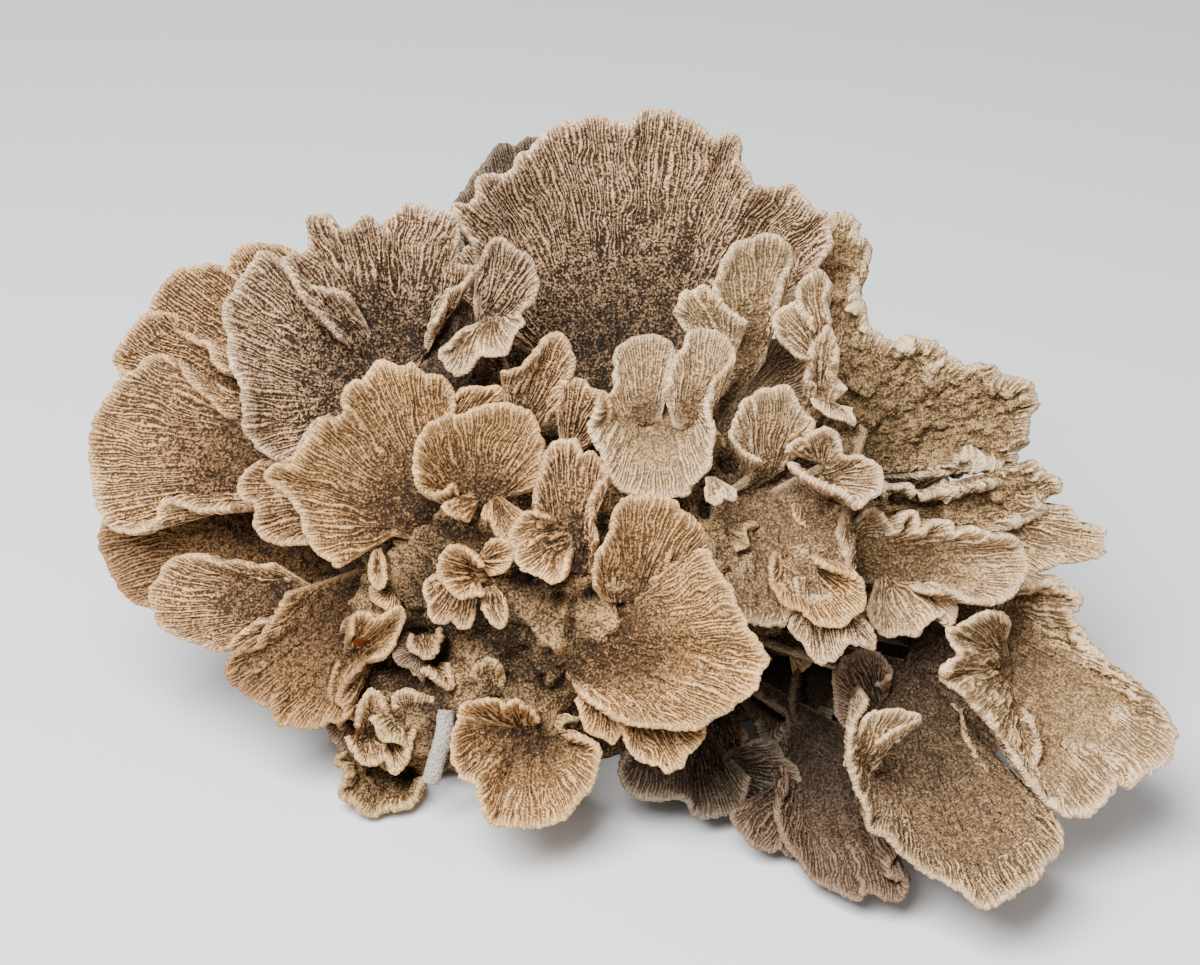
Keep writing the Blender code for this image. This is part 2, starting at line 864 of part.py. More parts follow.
def shelf_points(shelf):
    """Rows of points of a back frond, from inside the core to its rim."""
    bearing = math.radians(shelf.bearing)
    outward = Vector((math.cos(bearing), math.sin(bearing), 0.0))
    sideways = Vector((-outward.y, outward.x, 0.0))
    level = Vector((0.0, 0.0, shelf.height * MM))
    centre = Vector(CORE_CENTRE) * MM
    slant = (level - Vector((0.0, 0.0, centre.z)) + outward * CORE_HALF_DEPTH * MM).normalized()
    root = inside_core(centre + slant, shelf.inset)
    rows = []
    for row in range(shelf.rows + 1):
        out = row / shelf.rows
        points = []
        for column in range(shelf.points):
            share = column / (shelf.points - 1)
            turn = math.radians(shelf.spread) * (share - 0.5)
            scallop = 1.0 + SHELF_SCALLOP * math.sin(SCALLOP_TURNS * turn + shelf.bearing)
            wave = shelf.ruffle * out * out * math.sin(column * RUFFLE_STEP + shelf.bearing)
            start = root + sideways * (share - 0.5) * SHELF_ROOT_WIDTH * MM
            reach = shelf.reach * scallop * out * MM
            point = start + (outward * math.cos(turn) + sideways * math.sin(turn)) * reach
            point.z += (shelf.rise * out ** RISE_CURVE + wave) * MM
            points.append(point)
        rows.append(points)
    return rows


def slab_mesh(name, rows, direction, thickness):
    """A grid whose points take the places in rows, extruded to its thickness along a direction."""
    columns = len(rows[0]) - 1
    bm = bmesh.new()
    bmesh.ops.create_grid(bm, x_segments=columns, y_segments=len(rows) - 1, size=0.5)
    half = direction * thickness * MM / 2.0
    for vert in bm.verts:
        column = round((vert.co.x + 0.5) * columns)
        row = round((vert.co.y + 0.5) * (len(rows) - 1))
        vert.co = rows[row][column] - half
    bmesh.ops.triangulate(bm, faces=bm.faces)
    grown = bmesh.ops.extrude_face_region(bm, geom=bm.faces[:])
    raised = [item for item in grown["geom"] if isinstance(item, bmesh.types.BMVert)]
    bmesh.ops.translate(bm, verts=raised, vec=half * 2.0)
    bmesh.ops.recalc_face_normals(bm, faces=bm.faces)
    if bm.calc_volume(signed=True) < 0.0:
        bmesh.ops.reverse_faces(bm, faces=bm.faces)
    mesh = bpy.data.meshes.new(name)
    bm.to_mesh(mesh)
    bm.free()
    return mesh


def plate_mesh(name, plate, carrier=None):
    """The slab of a plate, which starts in the core or on the plate that carries it."""
    if carrier is None:
        rows = sheet_points(plate, anchored=True)
    else:
        rows = sheet_points(seated(plate, carrier), anchored=False)
    towards_eye = Vector((0.0, -math.cos(EYE_ELEVATION), math.sin(EYE_ELEVATION)))
    return slab_mesh(name, rows, towards_eye, plate.thickness)


def principled(name, colour, roughness):
    """A plain Principled material."""
    material = bpy.data.materials.new(name)
    material.use_nodes = True
    shader = material.node_tree.nodes["Principled BSDF"]
    shader.inputs["Base Color"].default_value = (*colour, 1.0)
    shader.inputs["Roughness"].default_value = roughness
    shader.inputs["Metallic"].default_value = 0.0
    return material


def add_object(name, mesh, collection):
    """Link a new object for a mesh."""
    obj = bpy.data.objects.new(name, mesh)
    collection.objects.link(obj)
    return obj


def add_cutter(name, mesh, collection):
    """Link an operand of a Boolean, which is a guide and not a part."""
    obj = add_object(name, mesh, collection)
    obj.hide_render = True
    obj.display_type = "WIRE"
    return obj


def combine(obj, operand, operation):
    """Join an operand to an object, or cut it away."""
    step = obj.modifiers.new(operation.lower(), "BOOLEAN")
    step.operation = operation
    step.object = operand
    step.solver = "MANIFOLD"


def closed_volume(mesh):
    """The volume of a mesh once close points are merged, or None where it isn't closed."""
    bm = bmesh.new()
    bm.from_mesh(mesh)
    bmesh.ops.remove_doubles(bm, verts=bm.verts, dist=MERGE * MM)
    closed = all(len(edge.link_faces) == 2 for edge in bm.edges)
    volume = bm.calc_volume(signed=True)
    bm.free()
    return volume if closed else None


def add_lightening(obj):
    """Collapse the short edges that joining lobes leaves; its share is set by choose_share."""
    return obj.modifiers.new("lighten", "DECIMATE")


def evaluated_mesh(obj):
    """The mesh of an object with its modifiers applied."""
    graph = bpy.context.evaluated_depsgraph_get()
    return bpy.data.meshes.new_from_object(obj.evaluated_get(graph))


def choose_share(obj, step):
    """Keep the smallest share of the triangles that leaves the shape closed and as full."""
    step.show_viewport = step.show_render = False
    full = closed_volume(evaluated_mesh(obj)) or 0.0
    step.show_viewport = step.show_render = True
    for share in KEPT_SHARES:
        step.ratio = share
        volume = closed_volume(evaluated_mesh(obj))
        if volume and abs(volume - full) < VOLUME_CHANGE * full:
            return


def bake(obj):
    """Put the evaluated shape in the object's mesh and keep only its largest body."""
    mesh = evaluated_mesh(obj)
    obj.modifiers.clear()
    obj.data = mesh
    bm = bmesh.new()
    bm.from_mesh(mesh)
    bmesh.ops.remove_doubles(bm, verts=bm.verts, dist=MERGE * MM)
    bodies = []
    waiting = set(bm.faces)
    while waiting:
        start = waiting.pop()
        body = [start]
        queue = [start]
        while queue:
            face = queue.pop()
            for edge in face.edges:
                for other in edge.link_faces:
                    if other in waiting:
                        waiting.remove(other)
                        body.append(other)
                        queue.append(other)
        bodies.append(body)
    bodies.sort(key=lambda faces: sum(face.calc_area() for face in faces))
    offcuts = [face for body in bodies[:-1] for face in body]
    bmesh.ops.delete(bm, geom=offcuts, context="FACES")
    bmesh.ops.triangulate(bm, faces=bm.faces)
    bm.to_mesh(mesh)
    bm.free()


def grown(obj, amount):
    """A copy of an object's mesh with its surface moved out by an amount."""
    mesh = obj.data.copy()
    bm = bmesh.new()
    bm.from_mesh(mesh)
    bm.normal_update()
    moves = [vert.normal * amount * MM * CORNER_ALLOWANCE for vert in bm.verts]
    for vert, move in zip(bm.verts, moves):
        vert.co += move
    bm.to_mesh(mesh)
    bm.free()
    return mesh


def build_frond(name, plates, part, cutters, core_cutter, material):
    """One main frond: its plate, with its lobes grown on, trimmed clear of the base."""
    main = plates[0]
    frond = add_object(name, plate_mesh(name, main), part)
    for number, lobe in enumerate(plates[1:], start=1):
        lobe_name = f"{name}_lobe_{number}"
        combine(frond, add_cutter(lobe_name, plate_mesh(lobe_name, lobe, main), cutters), "UNION")
    step = add_lightening(frond) if len(plates) > 1 else None
    combine(frond, core_cutter, "DIFFERENCE")
    if step:
        choose_share(frond, step)
    bake(frond)
    frond.data.materials.clear()
    frond.data.materials.append(material)
    return frond


def build_shelf(name, shelf, part, core_cutter, material):
    """One frond of the back, trimmed clear of the base."""
    upwards = Vector((0.0, 0.0, 1.0))
    frond = add_object(name, slab_mesh(name, shelf_points(shelf), upwards, FROND_THICKNESS), part)
    combine(frond, core_cutter, "DIFFERENCE")
    bake(frond)
    frond.data.materials.clear()
    frond.data.materials.append(material)
    return frond


def build_base(part, cutters, material):
    """The base: the core with the small lobes of the foot grown on."""
    base = add_object("base", core_mesh(), part)
    for number, lobe in enumerate(FOOT_LOBES, start=1):
        name = f"foot_lobe_{number}"
        combine(base, add_cutter(name, plate_mesh(name, lobe), cutters), "UNION")
    choose_share(base, add_lightening(base))
    bake(base)
    base.data.materials.clear()
    base.data.materials.append(material)
    return base


def build_tube(part, cutters, base, material):
    """The worm tube that stands against the foot."""
    curve = bpy.data.curves.new("worm_tube_path", "CURVE")
    curve.dimensions = "3D"
    curve.bevel_depth = TUBE_RADIUS * MM
    curve.bevel_resolution = 2
    curve.use_fill_caps = True
    spline = curve.splines.new("POLY")
    spline.points.add(len(WORM_TUBE) - 1)
    for point, spot in zip(spline.points, WORM_TUBE):
        point.co = (*place(*spot), 1.0)
    guide = add_object("worm_tube_path", curve, cutters)
    mesh = evaluated_mesh(guide)
    bpy.data.objects.remove(guide)
    bm = bmesh.new()
    bm.from_mesh(mesh)
    bmesh.ops.remove_doubles(bm, verts=bm.verts, dist=TUBE_WELD * MM)
    bmesh.ops.recalc_face_normals(bm, faces=bm.faces)
    bm.to_mesh(mesh)
    bm.free()
    tube = add_object("worm_tube", mesh, part)
    combine(tube, add_cutter("base_round_tube", grown(base, CLEARANCE), cutters), "DIFFERENCE")
    bake(tube)
    tube.data.materials.clear()
    tube.data.materials.append(material)
    return tube


def touching(first, second):
    """Whether the surfaces of two objects cross, with a little room between them."""
    trees = []
    for obj, room in ((first, 2.0 * CLEARANCE), (second, 0.0)):
        bm = bmesh.new()
        bm.from_mesh(grown(obj, room))
        trees.append(BVHTree.FromBMesh(bm))
        bm.free()
    return bool(trees[0].overlap(trees[1]))


def trim_laps(fronds, cutters):
    """Where two fronds grow against each other, trim the later one round the earlier one."""
    for later, behind in enumerate(fronds):
        for front in fronds[:later]:
            if touching(front, behind):
                name = f"{front.name}_round_{behind.name}"
                combine(behind, add_cutter(name, grown(front, CLEARANCE), cutters), "DIFFERENCE")
                bake(behind)


def frontness(plates):
    """How far forward the rim of a frond's main plate lies, on the whole."""
    return sum(plates[0].depths) / len(plates[0].depths)


def main():
    """Clear the file and build the colony."""
    for obj in list(bpy.data.objects):
        bpy.data.objects.remove(obj)
    part = bpy.data.collections.new("montipora_coral")
    cutters = bpy.data.collections.new("cutters")
    bpy.context.scene.collection.children.link(part)
    bpy.context.scene.collection.children.link(cutters)
    base = build_base(part, cutters, principled("base_coral", PALETTE["grey"], 0.95))
    core_cutter = add_cutter("base_clearance", grown(base, CLEARANCE), cutters)
    fronds = []
    for name, plates in sorted(FRONDS.items(), key=lambda item: -frontness(item[1])):
        tone = "brown" if name in BROWN_FRONDS else "grey" if name in GREY_FRONDS else "cream"
        material = principled(f"{name}_coral", PALETTE[tone], 0.9)
        fronds.append(build_frond(name, plates, part, cutters, core_cutter, material))
    for name, shelf in BACK_FRONDS.items():
        material = principled(f"{name}_coral", PALETTE["grey"], 0.92)
        fronds.append(build_shelf(name, shelf, part, core_cutter, material))
    trim_laps(fronds, cutters)
    build_tube(part, cutters, base, principled("tube_chalk", PALETTE["chalk"], 0.9))


main()
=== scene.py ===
"""A plating montipora coral colony, dressed over the solids of its frame.

Every frond is a thin cupped sheet with fine ridges that fan out from its root,
fork as the sheet widens, and end in a pale crumbly rim.  Lengths in the tables
are millimetres, and MM turns them into metres.
"""

import logging
import math
from dataclasses import dataclass
from enum import Enum

import bmesh
import bpy
import numpy as np
from mathutils import Matrix, Vector, noise


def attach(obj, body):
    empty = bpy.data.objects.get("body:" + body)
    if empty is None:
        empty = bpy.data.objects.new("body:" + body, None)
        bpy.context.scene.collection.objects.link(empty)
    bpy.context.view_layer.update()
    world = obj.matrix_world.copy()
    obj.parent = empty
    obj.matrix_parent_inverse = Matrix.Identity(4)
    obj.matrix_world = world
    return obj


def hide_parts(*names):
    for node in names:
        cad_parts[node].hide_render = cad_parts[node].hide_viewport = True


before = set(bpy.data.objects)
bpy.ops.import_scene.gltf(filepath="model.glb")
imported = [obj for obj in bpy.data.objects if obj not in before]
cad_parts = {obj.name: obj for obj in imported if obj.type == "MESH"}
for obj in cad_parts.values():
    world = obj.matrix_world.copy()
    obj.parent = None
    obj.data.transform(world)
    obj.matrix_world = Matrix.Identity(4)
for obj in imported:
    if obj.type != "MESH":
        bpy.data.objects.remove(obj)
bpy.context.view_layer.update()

LOG = logging.getLogger("coral")
MM = 0.001

# Sighting plane: fans are laid out on a leaning plane as (across, up), and
# "forward" brings a point off the plane towards an eye in front of the colony
EYE_DISTANCE = 1000.0
EYE_ELEVATION = math.radians(30.0)
SIGHT_CENTRE = (4.0, -24.0, 120.0)

# Base: a dome on a wide foot, as in the solids
CORE_CENTRE = (0.0, 0.0, 56.0)
CORE_HALF_WIDTH = 110.0
CORE_HALF_DEPTH = 60.0
CORE_HALF_HEIGHT = 74.0
CORE_LOWER_HEIGHT = 108.0
ROUGHNESS = 3.5
ROUGHNESS_SIZE = 34.0
SWELLINGS = (
    ((-0.82, -0.62, -0.34), 0.34, 22.0),
    ((-0.48, -0.80, -0.30), 0.10, 24.0),
    ((-0.05, -0.95, 0.00), 0.10, 26.0),
    ((0.55, -0.70, -0.45), -0.26, 30.0),
    ((0.80, -0.20, -0.30), -0.10, 26.0),
    ((0.38, -0.40, 0.84), -0.22, 30.0),
    ((-0.62, 0.10, 0.62), 0.06, 28.0),
    ((0.60, 0.62, -0.20), 0.08, 30.0),
    ((-0.45, 0.80, -0.20), 0.06, 30.0),
)

# Sheets
GRID_STEP = 0.92
ROW_STEP = 1.20
BACK_COARSENESS = 1.5
SPROUT_COARSENESS = 1.8
EMBED_ROW = 2.0
LAYER_SPACING = 10.0
FLOOR_EASE = 4.0
SHEET_THICKNESS = 4.0
LOBE_THICKNESS = 3.5
SPROUT_THICKNESS = 3.2
LOBE_LIFT = 0.4
EMBED = 0.72
ROOTED = 0.90
RIDGE_SPACING = 1.5
NARROWEST_SPREAD = 0.10
EDGE_FLOOR = 0.20
EDGE_TAPER = 5.0
RIM_FADE = 9.0
GRAIN_SIZE = 2.0
KNOB_SIZE = 3.0
LUMP_SIZE = 6.0
RUST_LENGTH = 2.9
RUST_HEIGHT = 1.6
RUST_EDGE = (0.7, 1.1)
ROW_CROWDING = 1.22
CURVE_SAMPLES = 12
FEWEST_STEPS = 10
FEWEST_ROWS = 8
ROOT_SAMPLING = 8
SKIN_MARKS = ("relief", "rim", "inward", "across", "joined", "bare", "rust")

# Relief of a sheet: where ridges fork and give way to bare grains, and how far
# knobs and grains break them up
FORK_BLEND = (0.15, 0.85)
BARE_BLEND = (0.75, 1.55)
BROKEN = 0.85
BROKEN_BARE = 0.5
BROKEN_BY_GRAINS = 0.7
BROKEN_RANGE = (0.10, 2.2)
RIDGES_LOST = 0.85
TUBERCLE_FLOOR = 0.25
TUBERCLE_BLEND = (0.1, 0.6)
LUMP_FLOOR = 0.05
FAR_FACE_RELIEF = 0.55
RIM_RELIEF = 0.45
RIM_RELIEF_WIDTH = 2.0

# Ruffles: how they turn outwards, the share and length of the small ones, and
# how they grow towards the rim and its lip
RUFFLE_TURN = 1.3
SMALL_RUFFLE = 0.45
SMALL_RUFFLE_LENGTH = 0.4
SMALL_RUFFLE_TURN = 2.0
RUFFLE_GAIN = 1.6
RUFFLE_GROWTH = 2.2
LIP_START = 0.80
LIP_WAVE = 0.8

# Scallops of a rim: size in millimetres, height, and start of the pattern
RIM_SCALLOPS = ((6.5, 0.9, 0.0), (2.4, 0.55, 5.0), (1.3, 0.40, 9.0))
SHELF_SCALLOPS = ((6.5, 0.9, 0.0), (2.4, 0.6, 5.0))

# Surface of every finish: strength of the bump, its depth in metres, and the shine
BUMP_STRENGTH = 0.9
BUMP_DISTANCE = 0.0012
SHEEN = 0.22


def scrambled(ix: np.ndarray, iy: np.ndarray, iz: np.ndarray) -> np.ndarray:
    """A fixed value from -1 to 1 for each lattice point.

    Args:
        ix: whole-number places along the first axis.
        iy: whole-number places along the second axis.
        iz: whole-number places along the third axis.

    Returns:
        One value for each place, the same on each run.
    """
    mixed = (ix * 374761393 + iy * 668265263 + iz * 1440662683) & 0x7FFFFFFF
    mixed = ((mixed ^ (mixed >> 13)) * 1274126177) & 0x7FFFFFFF
    mixed = mixed ^ (mixed >> 16)
    return (mixed & 0xFFFF) / 32767.5 - 1.0


def soft_noise(x: np.ndarray, y: np.ndarray, z: np.ndarray | float = 0.0) -> np.ndarray:
    """Smooth noise from -1 to 1 with features about one unit across.

    Args:
        x: first coordinate of each point.
        y: second coordinate of each point.
        z: third coordinate of each point, or one for all of them.

    Returns:
        The noise at each point.
    """
    x, y, z = np.broadcast_arrays(x, y, z)
    cell = [np.floor(axis).astype(np.int64) for axis in (x, y, z)]
    rest = [axis - floor for axis, floor in zip((x, y, z), cell)]
    fade = [part * part * part * (part * (part * 6.0 - 15.0) + 10.0) for part in rest]
    total = np.zeros(x.shape)
    for dx in (0, 1):
        for dy in (0, 1):
            for dz in (0, 1):
                weight = np.ones(x.shape)
                for step, part in zip((dx, dy, dz), fade):
                    weight = weight * (part if step else 1.0 - part)
                total += weight * scrambled(cell[0] + dx, cell[1] + dy, cell[2] + dz)
    return total


@dataclass(frozen=True)
class Drift:
    """Soft noise that wanders over a sheet.

    along and outwards are its sizes in millimetres, and start keeps its pattern
    apart from the others.
    """

    along: float
    outwards: float
    strength: float
    start: float = 0.0

    def over(self, arc: np.ndarray, out: np.ndarray, seed: float) -> np.ndarray:
        """The drift at each grid point."""
        return self.strength * soft_noise(arc / self.along, out / self.outwards, seed + self.start)


RIDGE_SWAY = Drift(10.0, 13.0, 1.9)
RIDGE_WOBBLE = Drift(3.8, 5.2, 0.75, 7.0)
FORK_DRIFT = Drift(7.0, 9.0, 0.35, 3.0)
BARE_DRIFT = Drift(15.0, 15.0, 0.35, 21.0)


def rough_noise(points: np.ndarray, size: float, octaves: int = 2) -> np.ndarray:
    """Several layers of soft noise, each half as large and half as strong.

    Args:
        points: places in millimetres, with x, y and z along the last axis.
        size: width of the largest features in millimetres.
        octaves: how many layers are added up.

    Returns:
        The noise at each place, about -1 to 1.
    """
    total = np.zeros(points.shape[:-1])
    strength = 1.0
    for _ in range(octaves):
        total += strength * soft_noise(points[..., 0] / size, points[..., 1] / size, points[..., 2] / size)
        size *= 0.5
        strength *= 0.5
    return total


def scalloped(arc: np.ndarray, seed: float, scallops: tuple[tuple[float, float, float], ...]) -> np.ndarray:
    """The small scallops at each place along a rim, added up."""
    return sum(height * soft_noise(arc / size, seed + start) for size, height, start in scallops)


def smoothstep(low: float, high: float, value: np.ndarray) -> np.ndarray:
    """Rise smoothly from 0 at low to 1 at high."""
    share = np.clip((value - low) / (high - low), 0.0, 1.0)
    return share * share * (3.0 - 2.0 * share)


def curve_through(points: np.ndarray) -> np.ndarray:
    """A smooth curve through points, sampled finely.

    Args:
        points: one row per point, with any number of coordinates.

    Returns:
        Samples of the curve, from the first point to the last.
    """
    padded = np.vstack((2.0 * points[0] - points[1], points, 2.0 * points[-1] - points[-2]))
    step = np.linspace(0.0, 1.0, CURVE_SAMPLES, endpoint=False)[:, None]
    pieces = []
    for a, b, c, d in zip(padded, padded[1:], padded[2:], padded[3:]):
        bend = 2.0 * a - 5.0 * b + 4.0 * c - d
        twist = 3.0 * b - a - 3.0 * c + d
        pieces.append(0.5 * (2.0 * b + (c - a) * step + bend * step**2 + twist * step**3))
    return np.vstack((*pieces, points[-1:]))


def evenly(curve: np.ndarray, count: int) -> tuple[np.ndarray, float]:
    """Places at equal steps along a sampled curve.

    Args:
        curve: samples of the curve, one per row.
        count: how many places are wanted.

    Returns:
        The places, and the curve's length.
    """
    steps = np.linalg.norm(np.diff(curve, axis=0), axis=1)
    travelled = np.concatenate(([0.0], np.cumsum(steps)))
    wanted = np.linspace(0.0, travelled[-1], count)
    places = [np.interp(wanted, travelled, curve[:, axis]) for axis in range(curve.shape[1])]
    return np.stack(places, axis=-1), float(travelled[-1])


def values_along(values: tuple[float, ...], count: int) -> np.ndarray:
    """A smooth run of values through a few given ones, spread evenly."""
    places = np.stack((np.arange(len(values), dtype=float), np.array(values, dtype=float)), axis=-1)
    curve = curve_through(places)
    return np.interp(np.linspace(0.0, len(values) - 1.0, count), curve[:, 0], curve[:, 1])


def place(across: np.ndarray, up: np.ndarray, forward: np.ndarray) -> np.ndarray:
    """Turn places on the sighting plane into places in the colony's frame.

    Args:
        across: millimetres to the right of the plane's middle.
        up: millimetres up the plane.
        forward: millimetres off the plane towards the eye.

    Returns:
        Places in millimetres, with x, y and z along the last axis.
    """
    nearer = 1.0 - forward / EYE_DISTANCE
    lean = math.sin(EYE_ELEVATION)
    stand = math.cos(EYE_ELEVATION)
    x = SIGHT_CENTRE[0] + across * nearer
    y = SIGHT_CENTRE[1] + up * nearer * lean - forward * stand
    z = SIGHT_CENTRE[2] + up * nearer * stand + forward * lean
    return np.stack((x, y, z), axis=-1)


def core_radius(direction: Vector) -> float:
    """Distance in millimetres from the core's centre to its surface along a direction."""
    half_height = CORE_HALF_HEIGHT if direction.z > 0.0 else CORE_LOWER_HEIGHT
    stretched = Vector((
        direction.x / CORE_HALF_WIDTH,
        direction.y / CORE_HALF_DEPTH,
        direction.z / half_height,
    ))
    radius = 1.0 / stretched.length
    swelling = 0.0
    for centre, amount, spread in SWELLINGS:
        angle = math.degrees(direction.angle(Vector(centre)))
        swelling += amount * math.exp(-((angle / spread) ** 2))
    radius *= 1.0 + swelling
    return radius + ROUGHNESS * noise.noise(direction * radius / ROUGHNESS_SIZE)


def towards_core(points: np.ndarray, share: float) -> np.ndarray:
    """Places at a share of the core's radius, on the lines from points to the core's centre."""
    centre = Vector(CORE_CENTRE)
    moved = []
    for point in points:
        direction = (Vector(point) - centre).normalized()
        moved.append(centre + direction * core_radius(direction) * share)
    return np.array(moved)


def all_rooted(points: np.ndarray) -> bool:
    """Whether every point already lies well inside the core."""
    centre = np.array(CORE_CENTRE)
    limits = towards_core(points, ROOTED)
    reach = np.linalg.norm(points - centre, axis=1)
    return bool(np.all(reach < np.linalg.norm(limits - centre, axis=1)))


@dataclass
class Sheet:
    """The middle surface of one sheet, as a grid from its root to its rim.

    middle holds places in millimetres, one row per step outwards; arc and out
    are millimetres along the rim and outwards; spread is how far the lines have
    opened, from near 0 at the root to 1 at the rim; rim_gap is the distance to
    the nearest free edge, and to_rim the distance outwards to the rim.  Ridges
    run in for about ridge_reach millimetres from the rim, and give way to bare
    grains.  ridge, grain and lump are heights in millimetres, seed sets where
    the relief falls, and rust is the share of rust at each place, if any.
    """

    middle: np.ndarray
    arc: np.ndarray
    out: np.ndarray
    spread: np.ndarray
    rim_gap: np.ndarray
    to_rim: np.ndarray
    thickness: float
    ridge: float
    ridge_reach: float
    grain: float
    tone: "Tone"
    seed: float
    lump: float = 0.0
    rust: np.ndarray | None = None

    def normals(self) -> np.ndarray:
        """The unit normal at each grid point."""
        along = np.gradient(self.middle, axis=1)
        outwards = np.gradient(self.middle, axis=0)
        normal = np.cross(along, outwards)
        length = np.linalg.norm(normal, axis=-1, keepdims=True)
        return normal / np.maximum(length, 1e-9)

    def ridge_run(self) -> tuple[np.ndarray, np.ndarray]:
        """Where each point lies across the ridges, which fork as the sheet widens.

        Returns:
            Millimetres across the ridges, counted at the rim, and how many
            times the ridges have joined up between the rim and the point.
        """
        opened = np.clip(self.spread, NARROWEST_SPREAD, 1.0)
        sway = RIDGE_SWAY.over(self.arc, self.out, self.seed)
        sway = sway + RIDGE_WOBBLE.over(self.arc, self.out, self.seed)
        joined = np.log2(1.0 / opened) + FORK_DRIFT.over(self.arc, self.out, self.seed)
        return self.arc + sway / opened, np.maximum(joined, 0.0)

    def bareness(self) -> np.ndarray:
        """How far the ridges have given way to bare grains, from 0 to 1."""
        drift = BARE_DRIFT.over(self.arc, self.out, self.seed)
        return smoothstep(*BARE_BLEND, self.to_rim / self.ridge_reach + drift)

    def relief(self, across: np.ndarray, joined: np.ndarray,
               bare: np.ndarray) -> tuple[np.ndarray, np.ndarray]:
        """The height of the main ridges and grains over each grid point.

        Args:
            across: millimetres across the ridges, counted at the rim.
            joined: how many times the ridges have joined up.
            bare: how far they have given way to bare grains.

        Returns:
            Heights in millimetres, and the same as a share from 0 to 1.
        """
        whole = np.floor(joined)
        blend = smoothstep(*FORK_BLEND, joined - whole)
        phase = math.pi * across / RIDGE_SPACING / 2.0**whole
        ridges = 0.5 * np.cos(phase) * (1.0 - blend) + 0.5 * np.cos(0.5 * phase) * blend
        grains = rough_noise(self.middle, GRAIN_SIZE, 2)
        knobs = rough_noise(self.middle + 50.0, KNOB_SIZE, 1)
        broken = 1.0 + (BROKEN + BROKEN_BARE * bare) * (knobs + BROKEN_BY_GRAINS * grains)
        lines = ridges * np.clip(broken, *BROKEN_RANGE) * (1.0 - RIDGES_LOST * bare)
        tubercles = np.maximum(knobs + 0.5 * grains - TUBERCLE_FLOOR, 0.0) * smoothstep(*TUBERCLE_BLEND, bare)
        height = self.ridge * (lines + 0.5 * tubercles * (1.0 - 0.5 * bare))
        height = height + self.grain * grains * (0.75 + 0.75 * bare)
        share = 0.5 + 0.6 * lines + grains * 0.30 + 0.30 * tubercles
        if self.lump:
            lumps = np.maximum(rough_noise(self.middle + 20.0, LUMP_SIZE, 2) - LUMP_FLOOR, 0.0)
            height = height + self.lump * lumps
            share = share + 0.9 * (lumps - 0.25)
        return height, np.clip(share, 0.0, 1.0)

    def surfaces(self) -> tuple[np.ndarray, dict[str, np.ndarray]]:
        """Both faces of the sheet, and what its skin reads.

        Returns:
            Places, with the back face first and the front face second along the
            first axis, and the values of each attribute at each grid point.
        """
        across, joined = self.ridge_run()
        bare = self.bareness()
        height, share = self.relief(across, joined, bare)
        closeness = 1.0 - np.clip(self.rim_gap / EDGE_TAPER, 0.0, 1.0)
        rounded = EDGE_FLOOR + (1.0 - EDGE_FLOOR) * np.sqrt(1.0 - closeness**2)
        rise = (self.thickness / 2.0 * rounded)[..., None]
        normal = self.normals()
        towards_eye = np.array((0.0, -math.cos(EYE_ELEVATION), math.sin(EYE_ELEVATION)))
        faces_eye = float(np.sum(normal @ towards_eye)) > 0.0
        front, back = (1.0, FAR_FACE_RELIEF) if faces_eye else (FAR_FACE_RELIEF, 1.0)
        calm = smoothstep(0.0, RIM_RELIEF_WIDTH, self.rim_gap) * (1.0 - RIM_RELIEF) + RIM_RELIEF
        above = self.middle + normal * (rise + (height * front * calm)[..., None])
        below = self.middle - normal * (rise + (height * back * calm)[..., None])
        marks = {"relief": share, "rim": np.exp(-self.rim_gap / RIM_FADE), "inward": 1.0 - self.spread,
                 "across": across, "joined": joined, "bare": bare}
        if self.rust is not None:
            marks["rust"] = self.rust
        return np.stack((below, above)), marks


def edge_gap(middle: np.ndarray, out_gap: np.ndarray) -> np.ndarray:
    """Distance from each grid point to the nearest free edge.

    Args:
        middle: the grid of places.
        out_gap: distance of each point from the rim.

    Returns:
        The smaller of the distances to the rim and to the two sides.
    """
    steps = np.linalg.norm(np.diff(middle, axis=1), axis=-1)
    travelled = np.concatenate((np.zeros((len(middle), 1)), np.cumsum(steps, axis=1)), axis=1)
    side = np.minimum(travelled, travelled[:, -1:] - travelled)
    return np.minimum(out_gap, side)


def row_shares(count: int) -> np.ndarray:
    """Shares of the way from root to rim, which crowd together at the rim."""
    even = np.linspace(0.0, 1.0, count + 1)
    return 1.0 - (1.0 - even) ** ROW_CROWDING


